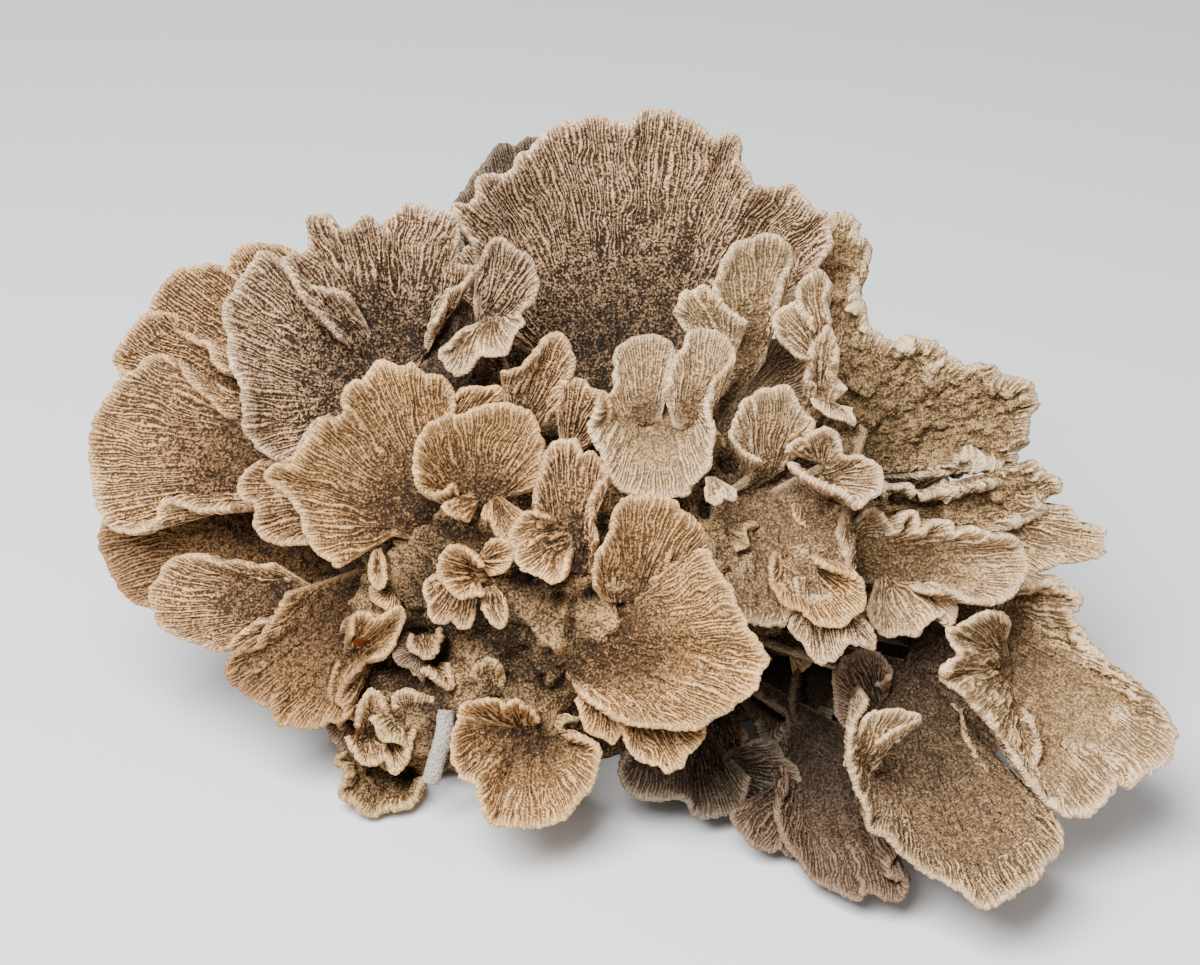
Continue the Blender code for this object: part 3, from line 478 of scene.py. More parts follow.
@dataclass(frozen=True)
class Fan:
    """One fan, laid out on the sighting plane as in the solids.

    root is (across, up, forward), or (across, up) on the fan that carries it;
    rim is the outline as (across, up) points in order; depths are forward values
    spread evenly along the rim, counted from the root's own depth on a lobe.
    cup is how far the middle bows away from the eye, ruffle how far the rim waves,
    lip how far it turns up, crumble how deep its scallops are, and rust where a
    spot of rust lies, if any.
    """

    root: tuple[float, ...]
    rim: tuple[tuple[float, float], ...]
    depths: tuple[float, ...]
    tone: "Tone"
    cup: float = 5.0
    root_width: float = 12.0
    ruffle: float = 1.3
    ruffle_length: float = 19.0
    lip: float = 0.7
    ridge: float = 0.9
    ridge_reach: float = 26.0
    grain: float = 0.5
    lump: float = 0.0
    crumble: float = 1.0
    thickness: float = SHEET_THICKNESS
    rust: tuple[float, float] | None = None

    def flat_rim(self, seed: float) -> tuple[np.ndarray, float]:
        """The outline with its small scallops.

        Args:
            seed: sets where the scallops fall.

        Returns:
            Places (across, up) at equal steps, and the outline's length.
        """
        curve = curve_through(np.array(self.rim, dtype=float))
        length = evenly(curve, 2)[1]
        count = max(FEWEST_STEPS, round(length / GRID_STEP)) + 1
        rim, _ = evenly(curve, count)
        arc = np.linspace(0.0, length, count)
        outwards = rim - np.array(self.root[:2])
        outwards = outwards / np.maximum(np.linalg.norm(outwards, axis=1, keepdims=True), 1e-6)
        scallop = scalloped(arc, seed, RIM_SCALLOPS)
        return rim + outwards * (self.crumble * scallop)[:, None], length

    def plane_grid(self, seed: float, carrier_depth: float | None) -> tuple[np.ndarray, ...]:
        """The fan on the sighting plane.

        Args:
            seed: sets the ruffles and scallops.
            carrier_depth: forward value of the root on the fan that carries it.

        Returns:
            Grids of across, up and forward, the rim's length and the shares of the rows.
        """
        rim, length = self.flat_rim(seed)
        count = len(rim)
        base_depth = self.root[2] if carrier_depth is None else carrier_depth
        rim_depth = values_along(self.depths, count)
        if carrier_depth is not None:
            rim_depth = rim_depth + carrier_depth
        side = np.array(self.rim[-1], dtype=float) - np.array(self.rim[0], dtype=float)
        side = side / np.linalg.norm(side) * self.root_width
        across_root = np.linspace(-0.5, 0.5, count)
        start = np.array(self.root[:2])[None, :] + side[None, :] * across_root[:, None]
        reach = float(np.mean(np.linalg.norm(rim - start, axis=1)))
        depth_reach = float(np.mean(np.abs(rim_depth - base_depth)))
        rows = max(FEWEST_ROWS, round(math.hypot(reach, depth_reach) / ROW_STEP))
        out = row_shares(rows)[:, None]
        arc = np.linspace(0.0, length, count)[None, :]
        wave = soft_noise(arc / self.ruffle_length, out * RUFFLE_TURN, seed + 11.0)
        small_length = SMALL_RUFFLE_LENGTH * self.ruffle_length
        wave = wave + SMALL_RUFFLE * soft_noise(arc / small_length, out * SMALL_RUFFLE_TURN, seed + 17.0)
        bow = self.cup * 4.0 * out * (1.0 - out)
        forward = base_depth * (1.0 - out) + rim_depth[None, :] * out - bow
        forward = forward + self.ruffle * RUFFLE_GAIN * wave * out**RUFFLE_GROWTH
        forward = forward + self.lip * smoothstep(LIP_START, 1.0, out) * (1.0 + LIP_WAVE * wave)
        across = start[None, :, 0] * (1.0 - out) + rim[None, :, 0] * out
        up = start[None, :, 1] * (1.0 - out) + rim[None, :, 1] * out
        return across, up, forward, length, out

    def depth_at(self, grid: tuple[np.ndarray, ...], across: float, up: float) -> float:
        """The forward value of this fan's sheet nearest to a place on the plane."""
        gap = (grid[0] - across) ** 2 + (grid[1] - up) ** 2
        return float(grid[2].flat[int(np.argmin(gap))]) + LOBE_LIFT

    def sheet(self, grid: tuple[np.ndarray, ...], seed: float, anchored: bool) -> Sheet:
        """The fan's sheet in the colony's frame.

        Args:
            grid: what plane_grid gave.
            seed: sets the ridges.
            anchored: whether the root runs on into the core.

        Returns:
            The sheet, with its rows from the root, or from inside the core, to the rim.
        """
        across, up, forward, length, out = grid
        middle = place(across, up, forward)
        span = np.linalg.norm(middle[-1] - middle[0], axis=1)[None, :]
        out_gap = (1.0 - out) * span
        out_travel = out * span
        opening = min(1.0, self.root_width / length)
        spread = np.broadcast_to(opening + (1.0 - opening) * out, across.shape)
        if anchored and not all_rooted(middle[0][::ROOT_SAMPLING]):
            inner = towards_core(middle[0], EMBED)
            gap = np.linalg.norm(middle[0] - inner, axis=1)
            rows = max(2, round(float(np.mean(gap)) / EMBED_ROW))
            share = np.linspace(0.0, 1.0, rows + 1)[:-1][:, None]
            extra = inner[None] * (1.0 - share[..., None]) + middle[0][None] * share[..., None]
            middle = np.concatenate((extra, middle))
            out_gap = np.concatenate((span + gap[None, :] * (1.0 - share), out_gap))
            out_travel = np.concatenate((-gap[None, :] * (1.0 - share), out_travel))
            spread = np.concatenate((np.repeat(spread[:1], rows, axis=0), spread))
        arc = np.broadcast_to(np.linspace(0.0, length, across.shape[1])[None, :], out_gap.shape)
        gap_all = edge_gap(middle, out_gap)
        rust = None
        if self.rust:
            gap = np.hypot((across - self.rust[0]) / RUST_LENGTH, (up - self.rust[1]) / RUST_HEIGHT)
            rust = 1.0 - smoothstep(*RUST_EDGE, gap)
        return Sheet(middle, arc, out_travel, spread, gap_all, out_gap, self.thickness, self.ridge,
                     self.ridge_reach, self.grain, self.tone, seed, self.lump, rust)


@dataclass(frozen=True)
class Shelf:
    """One fan at the back: it leaves the base at a bearing and a height, as in the solids."""

    bearing: float
    height: float
    reach: float
    spread: float
    rise: float
    inset: float = 0.80
    ruffle: float = 6.0
    root_width: float = 16.0
    ridge: float = 0.9
    ridge_reach: float = 30.0
    grain: float = 0.45
    bay: float = 0.07
    bay_turn: float = 6.6
    ruffle_turn: float = 15.2
    small_ruffle: float = 2.0
    small_ruffle_length: float = 11.0
    rise_growth: float = 1.6

    def sheet(self, seed: float) -> Sheet:
        """The shelf's sheet, from inside the core to its rim.

        Args:
            seed: sets its ridges and its small scallops.

        Returns:
            The sheet.
        """
        bearing = math.radians(self.bearing)
        outward = np.array((math.cos(bearing), math.sin(bearing), 0.0))
        sideways = np.array((-outward[1], outward[0], 0.0))
        slant = outward * CORE_HALF_DEPTH + np.array((0.0, 0.0, self.height - CORE_CENTRE[2]))
        root = towards_core((np.array(CORE_CENTRE) + slant)[None], self.inset)[0]
        length = math.radians(self.spread) * self.reach + self.root_width
        columns = round(length / GRID_STEP / BACK_COARSENESS)
        rows = round(self.reach / ROW_STEP / BACK_COARSENESS)
        share = np.linspace(0.0, 1.0, columns + 1)[None, :]
        out = row_shares(rows)[:, None]
        turn = math.radians(self.spread) * (share - 0.5)
        scallop = 1.0 + self.bay * np.sin(self.bay_turn * turn + self.bearing)
        scallop = scallop + scalloped(share * length, seed, SHELF_SCALLOPS) / self.reach
        wave = self.ruffle * out * out * np.sin(self.ruffle_turn * share + self.bearing)
        small = soft_noise(share * length / self.small_ruffle_length, out * 1.5, seed)
        wave = wave + self.small_ruffle * out * out * small
        reach = self.reach * scallop * out
        start = root + sideways * ((share - 0.5) * self.root_width)[..., None]
        ray = outward * np.cos(turn)[..., None] + sideways * np.sin(turn)[..., None]
        middle = start + ray * reach[..., None]
        lifted = self.rise * out**self.rise_growth + wave
        middle = middle + np.array((0.0, 0.0, 1.0)) * lifted[..., None]
        opening = self.root_width / length
        spread = np.broadcast_to(opening + (1.0 - opening) * out, reach.shape)
        arc = np.broadcast_to(share * length, reach.shape)
        to_rim = (1.0 - out) * self.reach * np.ones_like(reach)
        gap = edge_gap(middle, to_rim)
        return Sheet(middle, arc, out * self.reach * np.ones_like(reach), spread, gap, to_rim,
                     SHEET_THICKNESS, self.ridge, self.ridge_reach, self.grain, Tone.SHELF, seed)


@dataclass(frozen=True)
class Sprout:
    """A small cupped fan that grows straight out of the base.

    direction runs from the core's centre; reach and spread give its radius and
    opening in degrees; turn rolls it about its own stalk, which leans up by lift;
    sink is how far its root lies under the base's surface.
    """

    direction: tuple[float, float, float]
    reach: float
    spread: float
    turn: float
    tone: "Tone"
    lift: float = 0.55
    sink: float = 3.0
    root_width: float = 4.0
    row_coarseness: float = 1.3
    unevenness: float = 0.12
    cup: float = 0.30
    ridge: float = 0.8
    ridge_reach: float = 12.0
    grain: float = 0.4

    def sheet(self, seed: float) -> Sheet:
        """The sprout's sheet, from just under the base's surface to its rim.

        Args:
            seed: sets its ridges and ruffles.

        Returns:
            The sheet.
        """
        direction = Vector(self.direction).normalized()
        root = Vector(CORE_CENTRE) + direction * (core_radius(direction) - self.sink)
        stalk = (direction + Vector((0.0, 0.0, self.lift))).normalized()
        flat = stalk.cross(Vector((0.0, 0.0, 1.0))).normalized()
        flat = Matrix.Rotation(math.radians(self.turn), 3, stalk) @ flat
        bend = stalk.cross(flat)
        length = math.radians(self.spread) * self.reach + self.root_width
        columns = max(8, round(length / GRID_STEP / SPROUT_COARSENESS))
        share = np.linspace(0.0, 1.0, columns + 1)[None, :]
        out = row_shares(max(6, round(self.reach / ROW_STEP / self.row_coarseness)))[:, None]
        turn = math.radians(self.spread) * (share - 0.5)
        reach = self.reach * out * (1.0 + self.unevenness * soft_noise(share * 4.0, seed, out))
        start = np.array(root) + np.array(flat) * (self.root_width * (share - 0.5))[..., None]
        ray = np.array(stalk) * np.cos(turn)[..., None] + np.array(flat) * np.sin(turn)[..., None]
        cup = self.reach * self.cup * out**2 * (1.0 + soft_noise(share * 5.0, seed + 2.0))
        middle = start + ray * reach[..., None] + np.array(bend) * cup[..., None]
        opening = self.root_width / length
        spread = np.broadcast_to(opening + (1.0 - opening) * out, reach.shape)
        arc = np.broadcast_to(share * length, reach.shape)
        to_rim = (1.0 - out) * self.reach * np.ones_like(reach)
        gap = edge_gap(middle, to_rim)
        return Sheet(middle, arc, out * self.reach * np.ones_like(reach), spread, gap, to_rim,
                     SPROUT_THICKNESS, self.ridge, self.ridge_reach, self.grain, self.tone, seed)


def sheets_mesh(name: str, sheets: list[Sheet]) -> bpy.types.Mesh:
    """One mesh that holds every sheet as a closed slab.

    Each slab is a flat grid that is extruded; its points then take their places
    on the two faces of its sheet.

    Args:
        name: the mesh's name.
        sheets: the sheets.

    Returns:
        The mesh, in metres, with the attributes that the coral skin reads.
    """
    bm = bmesh.new()
    for number, sheet in enumerate(sheets):
        rows, columns = sheet.out.shape
        layer = Matrix.Translation((0.0, 0.0, number * LAYER_SPACING))
        bmesh.ops.create_grid(bm, x_segments=columns - 1, y_segments=rows - 1, size=0.5, matrix=layer)
    raised = bmesh.ops.extrude_face_region(bm, geom=bm.faces[:])
    raised = [item for item in raised["geom"] if isinstance(item, bmesh.types.BMVert)]
    bmesh.ops.translate(bm, verts=raised, vec=(0.0, 0.0, 1.0))
    bmesh.ops.recalc_face_normals(bm, faces=bm.faces)
    mesh = bpy.data.meshes.new(name)
    bm.to_mesh(mesh)
    bm.free()
    flat = np.empty(len(mesh.vertices) * 3)
    mesh.vertices.foreach_get("co", flat)
    flat = flat.reshape(-1, 3)
    owner = np.floor((flat[:, 2] + 0.5) / LAYER_SPACING).astype(int)
    face = np.round(flat[:, 2] - owner * LAYER_SPACING).astype(int)
    placed = np.empty_like(flat)
    marks = {label: np.zeros(len(flat)) for label in SKIN_MARKS}
    for number, sheet in enumerate(sheets):
        mine = owner == number
        rows, columns = sheet.out.shape
        column = np.round((flat[mine, 0] + 0.5) * (columns - 1)).astype(int)
        row = np.round((flat[mine, 1] + 0.5) * (rows - 1)).astype(int)
        places, values = sheet.surfaces()
        placed[mine] = places[face[mine], row, column]
        for label, value in values.items():
            marks[label][mine] = value[row, column]

    # Whatever would pass under the floor is eased up to it
    low = placed[:, 2] < FLOOR_EASE
    placed[low, 2] = FLOOR_EASE * np.exp(placed[low, 2] / FLOOR_EASE - 1.0)
    mesh.vertices.foreach_set("co", (placed * MM).ravel())
    for label, values in marks.items():
        layer = mesh.attributes.new(label, "FLOAT", "POINT")
        layer.data.foreach_set("value", values)
    first = np.empty(len(mesh.polygons), dtype=int)
    mesh.polygons.foreach_get("loop_start", first)
    corner = np.empty(len(mesh.loops), dtype=int)
    mesh.loops.foreach_get("vertex_index", corner)
    tones = list(dict.fromkeys(sheet.tone for sheet in sheets))
    paints = np.array([tones.index(sheet.tone) for sheet in sheets])
    mesh.polygons.foreach_set("material_index", paints[owner[corner[first]]])
    mesh.polygons.foreach_set("use_smooth", np.ones(len(first), dtype=bool))
    for tone in tones:
        mesh.materials.append(tone.material())
    mesh.update()
    return mesh


@dataclass(frozen=True)
class CoralFinish:
    """Colours of dry coral skeleton, from the pale rim to the dark root, which is partly painted shade.

    Colours are linear.  blotch is how much dark dirt lies near the root, and
    powder_and_highlight how much pale dust and painted highlight lie on the high
    grains; the grooves and pores take the colour of dirt and painted shade.
    """

    rim: tuple[float, float, float]
    body: tuple[float, float, float]
    root: tuple[float, float, float]
    groove: float
    blotch: float
    powder_and_highlight: float

    def material(self, name: str) -> bpy.types.Material:
        """The finish as a material that reads the sheet's own attributes.

        Args:
            name: the material's name.

        Returns:
            The material.
        """
        material = bpy.data.materials.new(name)
        material.use_nodes = True
        tree = material.node_tree
        shader = tree.nodes["Principled BSDF"]
        shader.inputs["Metallic"].default_value = 0.0
        shader.inputs["Specular IOR Level"].default_value = SHEEN
        skin = tree.nodes.new("ShaderNodeGroup")
        skin.node_tree = coral_skin()
        colours = {"Rim Color": self.rim, "Body Color": self.body, "Root Color": self.root}
        for socket, colour in colours.items():
            skin.inputs[socket].default_value = (*colour, 1.0)
        skin.inputs["Groove Depth"].default_value = self.groove
        skin.inputs["Blotch Amount"].default_value = self.blotch
        skin.inputs["Powder And Highlight Amount"].default_value = self.powder_and_highlight
        bump = tree.nodes.new("ShaderNodeBump")
        bump.inputs["Strength"].default_value = BUMP_STRENGTH
        bump.inputs["Distance"].default_value = BUMP_DISTANCE
        tree.links.new(skin.outputs["Color"], shader.inputs["Base Color"])
        tree.links.new(skin.outputs["Roughness"], shader.inputs["Roughness"])
        tree.links.new(skin.outputs["Height"], bump.inputs["Height"])
        tree.links.new(bump.outputs["Normal"], shader.inputs["Normal"])
        return material


class Tone(Enum):
    """The finishes of the colony's parts."""

    GOLD = CoralFinish((0.96, 0.60, 0.27), (0.56, 0.295, 0.115), (0.082, 0.040, 0.016), 0.80, 0.50, 0.90)
    TAN = CoralFinish((0.93, 0.59, 0.30), (0.46, 0.248, 0.104), (0.080, 0.040, 0.018), 0.88, 0.55, 0.85)
    PINK = CoralFinish((0.92, 0.64, 0.40), (0.44, 0.252, 0.130), (0.105, 0.062, 0.030), 0.95, 0.90, 0.85)
    BROWN = CoralFinish((0.62, 0.36, 0.160), (0.31, 0.160, 0.062), (0.100, 0.049, 0.019), 0.88, 0.45, 0.65)
    SLAB = CoralFinish((0.95, 0.72, 0.45), (0.53, 0.330, 0.150), (0.260, 0.160, 0.070), 0.78, 0.45, 0.80)
    CREAM = CoralFinish((0.96, 0.69, 0.41), (0.60, 0.375, 0.185), (0.180, 0.104, 0.046), 0.68, 0.50, 0.85)
    BOWL = CoralFinish((0.88, 0.60, 0.34), (0.33, 0.200, 0.100), (0.095, 0.058, 0.030), 0.80, 0.45, 0.75)
    MAUVE = CoralFinish((0.38, 0.245, 0.155), (0.165, 0.102, 0.061), (0.056, 0.035, 0.021), 0.90, 0.45, 0.62)
    # Dark grey-brown, and partly painted shade: it is used on fronds that lie deep in shadow
    STONE_AND_PAINTED_SHADE = CoralFinish((0.30, 0.23, 0.16), (0.130, 0.093, 0.061), (0.055, 0.039, 0.026), 0.88, 0.42, 0.62)
    SHELF = CoralFinish((0.66, 0.45, 0.26), (0.36, 0.220, 0.115), (0.120, 0.074, 0.038), 0.86, 0.55, 0.75)
    BASE = CoralFinish((0.82, 0.56, 0.25), (0.52, 0.315, 0.138), (0.100, 0.057, 0.026), 0.90, 0.50, 0.76)
    # Painted shade: a near-black finish for sheets that only fill dark hollows between the fronds
    PAINTED_SHADE = CoralFinish((0.10, 0.066, 0.038), (0.050, 0.033, 0.020), (0.020, 0.014, 0.009), 0.95, 0.40, 0.50)
    CHALK = CoralFinish((0.56, 0.51, 0.45), (0.47, 0.42, 0.36), (0.34, 0.30, 0.25), 0.25, 0.10, 0.40)

    def material(self) -> bpy.types.Material:
        """The finish's material, made the first time it is asked for."""
        name = f"coral_{self.name.lower()}"
        return bpy.data.materials.get(name) or self.value.material(name)


FANS: dict[str, tuple[Fan, ...]] = {
    "left_great_frond": (
        Fan(root=(-118, 8, -32), rim=((-148, 26), (-152, 28), (-156, 33), (-160, 36), (-166, 42),
                 (-168, 46), (-171, 49), (-175, 51), (-182, 50), (-186, 46), (-192, 42), (-196, 37),
                 (-200, 31), (-203, 21), (-204, 15), (-203.5, 0), (-202, -7), (-200, -14), (-197, -18.5),
                 (-191, -20), (-185, -19.5), (-178, -15), (-176, -9.5), (-173.5, -7.5), (-168, -9),
                 (-161, -11), (-148, -10)), depths=(-30, -22, -20, -22, -12), tone=Tone.TAN, cup=6.0,
            ridge_reach=34.0, root_width=34.0),
    ),
    "left_upper_frond": (
        Fan(root=(-116, 28, -44), rim=((-150, 44), (-155, 48), (-157, 55), (-163, 57.5), (-170, 62),
                 (-176, 68.5), (-183, 67), (-186, 62), (-191, 58), (-194, 49), (-190, 36)),
            depths=(-36, -30, -34), tone=Tone.TAN, root_width=26.0),
    ),
    "left_high_frond": (
        Fan(root=(-108, 38, -58), rim=((-142, 74), (-146, 80), (-151, 86), (-158, 87.5), (-165, 86),
                 (-172, 83), (-178, 75), (-182, 66), (-188, 56)), depths=(-50, -44, -48), tone=Tone.TAN,
            root_width=24.0),
    ),
    "left_crown_frond": (
        Fan(root=(-92, 44, -70), rim=((-112, 84), (-121, 91), (-128, 95), (-136, 96.5), (-143, 95.5),
                 (-148, 90), (-150, 82), (-158, 78), (-158, 68)), depths=(-60, -54, -60), tone=Tone.TAN,
            root_width=26.0),
    ),
    "left_low_back_frond": (
        Fan(root=(-110, -18, -46), rim=((-196, -8), (-199.5, -16.5), (-200.5, -23), (-199, -30),
                 (-197.5, -35), (-195, -39), (-191, -44), (-189, -46.5), (-181, -50), (-166, -56),
                 (-150, -56)), depths=(-38, -34, -38), tone=Tone.BROWN, root_width=34.0),
    ),
    "left_inner_frond": (
        Fan(root=(-104, -4, -18), rim=((-124, 10), (-133.5, 8), (-137.5, 8), (-141.5, 5), (-144, 1),
                 (-144.5, -3), (-143, -6.5), (-139, -8), (-137.5, -11), (-138.5, -16.5), (-137, -20.5),
                 (-134.5, -23), (-130.5, -24.5), (-126.5, -25), (-116, -24)), depths=(-14, -6, -12),
            tone=Tone.TAN, root_width=24.0),
    ),
    "left_bowl_frond": (
        Fan(root=(-80, 30, -32), rim=((-104, 22), (-112, 25), (-117, 20), (-121, 13), (-124, 9),
                 (-131, 10.5), (-138, 15), (-142, 21), (-143.5, 30), (-144, 38), (-147, 45), (-149, 52),
                 (-148.5, 57), (-150, 63), (-150.5, 71), (-147, 77), (-143, 84), (-138, 90), (-133, 92),
                 (-127, 88), (-122, 82), (-114, 78), (-100, 76)), depths=(-14, -6, -2, -8, -16, -22),
            tone=Tone.PINK, cup=10.0, root_width=18.0),
        Fan(root=(-80, 44), rim=((-104, 58), (-113, 68), (-119, 74), (-123, 82), (-127, 90), (-120, 91),
                 (-116, 96), (-117, 105), (-113, 107), (-108, 106.5), (-107, 102), (-103, 101), (-98, 104),
                 (-93, 107), (-88, 104), (-85, 101), (-86, 106), (-82, 108), (-77, 111), (-72, 111),
                 (-66, 109), (-60, 109), (-56.5, 106), (-56.5, 95), (-57, 88), (-52, 87), (-50.5, 85.5),
                 (-54, 80), (-60, 77), (-62, 72), (-66, 64)), depths=(10, 24, 8, 20, 8, 20, 12, 14),
            tone=Tone.PINK, cup=6.0, root_width=14.0, ridge=1.4),
    ),
    "left_low_frond": (
        Fan(root=(-88, -44, -24), rim=((-124, -44), (-134, -58), (-140, -67), (-144, -67.5), (-148, -70),
                 (-150, -75), (-149, -80), (-147, -81.5), (-144, -81), (-145, -83), (-141.5, -86),
                 (-137, -89), (-133.5, -89.5), (-131, -85.5), (-131, -90), (-129, -96), (-124, -97),
                 (-117.5, -98.5), (-113.5, -98.5), (-109, -96), (-103, -95), (-102.5, -91), (-105.5, -88.5),
                 (-103, -81.5), (-96, -74)), depths=(-12, -6, -2, -6), tone=Tone.BROWN, root_width=26.0,
            ridge_reach=12.0),
        Fan(root=(-113, -48), rim=((-130, -32), (-137, -33.5), (-145.5, -31.5), (-152, -32), (-156, -31),
                 (-160, -29.3), (-167, -29.4), (-173.5, -32), (-177.5, -37.5), (-179.5, -42), (-180, -48),
                 (-178, -53.5), (-176, -58), (-170.5, -61.5), (-165.5, -63.5), (-160, -64.5), (-157, -66.5),
                 (-152, -67), (-148.5, -65.5), (-145.5, -61.5), (-141, -59), (-139, -56.5), (-130, -56)),
            depths=(4, 8, 6), tone=Tone.TAN, cup=3.0),
        Fan(root=(-100, -70), rim=((-99, -61), (-98.5, -53.5), (-96, -52.5), (-93, -53), (-89.5, -54),
                 (-85.5, -52.5), (-80, -50), (-77.5, -52.5), (-79, -56.5), (-81.5, -60.5), (-83, -65.5),
                 (-86.5, -69), (-92, -70)), depths=(20, 26, 20), tone=Tone.GOLD, cup=4.0, ruffle=0.5,
            root_width=9.0, lip=2.4, rust=(-95.5, -62.5), ridge=0.3, grain=0.3),
    ),
    "centre_left_frond": (
        Fan(root=(-72, -8, -4), rim=((-104, -34), (-111, -30), (-118, -20), (-121, -11), (-126, -4),
                 (-134, 2), (-131, 7), (-124, 7), (-121.5, 12), (-117, 19), (-111, 26), (-107, 25),
                 (-102, 29), (-103, 34), (-99, 41), (-95, 42), (-91, 47), (-84, 48.5), (-79, 47), (-75, 48),
                 (-70, 43), (-65, 43.5), (-61, 41), (-58.5, 33), (-60, 26), (-66, 14)),
            depths=(8, 20, 16, 8, 2), tone=Tone.GOLD, cup=7.0, root_width=34.0, ruffle=1.8,
            ridge_reach=28.0),
        Fan(root=(-62, 18), rim=((-60, 32), (-57, 35), (-54, 37.7), (-50.7, 38), (-47, 38.3), (-42.7, 39.3),
                 (-40, 38), (-39, 34), (-44, 26)), depths=(4, 6, 4), tone=Tone.GOLD, cup=2.0,
            root_width=8.0),
        Fan(root=(-89, -27), rim=((-91, -31), (-91.5, -38), (-89, -43), (-86, -41.5), (-86, -37),
                 (-87, -31)), depths=(7, 9, 7), tone=Tone.GOLD, cup=0.5, root_width=3.5, ridge=0.4),
    ),
    "centre_frond": (
        Fan(root=(-50, -8, 8), rim=((-56.7, -5), (-58, -2.3), (-60, -0.7), (-62, -3), (-66.7, -5),
                 (-70, -3.7), (-72.7, -1), (-74.3, 3), (-75, 7), (-74.3, 11.7), (-73.3, 15.7), (-71.3, 19),
                 (-69, 23.7), (-65, 25), (-60.7, 27.3), (-56.7, 27.3), (-53.3, 27.7), (-50, 29.7),
                 (-45.3, 31), (-40, 32), (-36.7, 31.7), (-32, 29.7), (-26.7, 27), (-24.7, 24.3),
                 (-24, 19.7), (-22, 17), (-23, 10), (-22, 6.5), (-24, 3), (-25, -3)),
            depths=(18, 26, 24, 26, 18), tone=Tone.GOLD, cup=8.0, root_width=18.0, ridge_reach=22.0),
        Fan(root=(-50, -6), rim=((-57, -8), (-62, -9), (-61, -12), (-57, -14.5), (-52, -15)),
            depths=(8, 14, 8), tone=Tone.GOLD, cup=1.0, root_width=6.0),
        Fan(root=(-42, -6), rim=((-47, -12), (-46, -14), (-43, -17), (-41, -22), (-37, -24), (-32, -21),
                 (-30, -12)), depths=(8, 12, 8), tone=Tone.GOLD, cup=1.0, root_width=6.0, ridge=0.5),
    ),
    "scroll_frond": (
        Fan(root=(-46, 64, -26), rim=((-50, 84), (-47, 90), (-43, 96.5), (-38, 97), (-33, 93), (-27, 89),
                 (-25.5, 84), (-25.5, 75), (-30, 70), (-34, 66)), depths=(-20, -14, -18), tone=Tone.PINK,
            cup=4.0, root_width=14.0),
        Fan(root=(-44, 66), rim=((-33, 68), (-31, 64), (-34, 60), (-37, 52), (-43, 50), (-49, 50),
                 (-53, 44), (-57, 42), (-60, 45), (-65, 50), (-61, 54), (-57, 60)), depths=(6, 10, 8),
            tone=Tone.CREAM, cup=2.0, root_width=8.0, lip=2.2),
    ),
    "tongue_frond": (
        Fan(root=(-32, 24, -16), rim=((-40, 44), (-31, 47), (-26, 52), (-20, 59), (-15, 59), (-11, 53),
                 (-9.5, 48), (-12, 42), (-16, 38), (-15.5, 33), (-20, 28)), depths=(-8, -2, -8),
            tone=Tone.TAN, cup=3.0, root_width=16.0),
    ),
    "small_middle_frond": (
        Fan(root=(-12, 14, -12), rim=((-18, 28), (-16.5, 33), (-15.5, 38), (-12, 41.5), (-7, 41), (-3, 38),
                 (2, 36.5), (5, 30), (2, 22), (0, 18)), depths=(-8, -4, -8), tone=Tone.TAN, cup=3.0,
            root_width=9.0),
    ),
    "great_back_frond": (
        Fan(root=(12, 41, -58), rim=((-44, 62), (-52, 78), (-50, 92), (-57, 106), (-58, 111), (-52, 112),
                 (-50, 118), (-49, 123), (-44, 124), (-39, 124), (-35, 127), (-33, 131), (-29, 133),
                 (-24, 137), (-21, 141), (-17, 144), (-12, 145), (-5, 146), (1, 146.5), (5, 144),
                 (9, 144.5), (13, 144), (14, 147), (18, 149.5), (22, 150), (28, 149), (34, 146),
                 (40, 143.5), (44, 140), (47, 138.5), (51, 140), (55, 138), (56, 134), (55, 130), (58, 126),
                 (61.5, 119.5), (71, 118.6), (78, 118), (84, 113), (85.6, 110), (90, 107.6), (92.7, 102),
                 (93, 97), (90.7, 93), (88.7, 89), (86.7, 85.7), (83.3, 84.3), (76, 72)),
            depths=(-36, -30, -44, -48, -44, -36, -38), tone=Tone.PINK, cup=16.0, root_width=44.0,
            ruffle=1.6, ridge=1.1, ridge_reach=42.0, grain=0.5),
        Fan(root=(-22, 44), rim=((-40, 34), (-52, 46), (-60, 60), (-62, 76), (-58, 90), (-48, 100),
                 (-36, 96)), depths=(-4, -6, -4), tone=Tone.PINK, cup=3.0, root_width=30.0,
            ridge_reach=14.0),
    ),
    "hidden_back_frond": (
        Fan(root=(-18, 48, -82), rim=((-56, 96), (-60, 108), (-54, 119), (-48, 127), (-41, 135),
                 (-34, 134.5), (-30, 138), (-24, 138), (-12, 134), (4, 128)), depths=(-76, -84, -88),
            tone=Tone.STONE_AND_PAINTED_SHADE, root_width=26.0),
    ),
    "two_lobe_frond": (
        Fan(root=(23, 33, -22), rim=((0, 34), (-4, 22), (-2, 16), (1, 10), (3, 4), (7, -2), (14, -6),
                 (22, -7), (34, -5), (36, -2), (42, 3), (44, 8), (45, 20), (42, 34)), depths=(2, 6, 8, 2),
            tone=Tone.CREAM, cup=2.0, root_width=36.0, ridge_reach=16.0, ridge=1.0, grain=0.5),
        Fan(root=(17, 22), rim=((1, 32), (4, 36.5), (7, 41), (5.5, 43), (6.5, 47), (5.7, 52), (8, 55.5),
                 (14, 59), (20, 60), (25, 59), (29, 56), (28.5, 50), (27, 44), (27.5, 40)),
            depths=(5, 2, 5), tone=Tone.CREAM, cup=2.0, root_width=16.0, ridge_reach=18.0),
        Fan(root=(36, 20), rim=((25.5, 36), (28, 42), (28.5, 46), (31, 52), (34, 55), (36, 61), (42, 62.5),
                 (50, 59), (54, 53), (51, 47), (46, 42), (44, 35), (43, 31)), depths=(5, 7, 5),
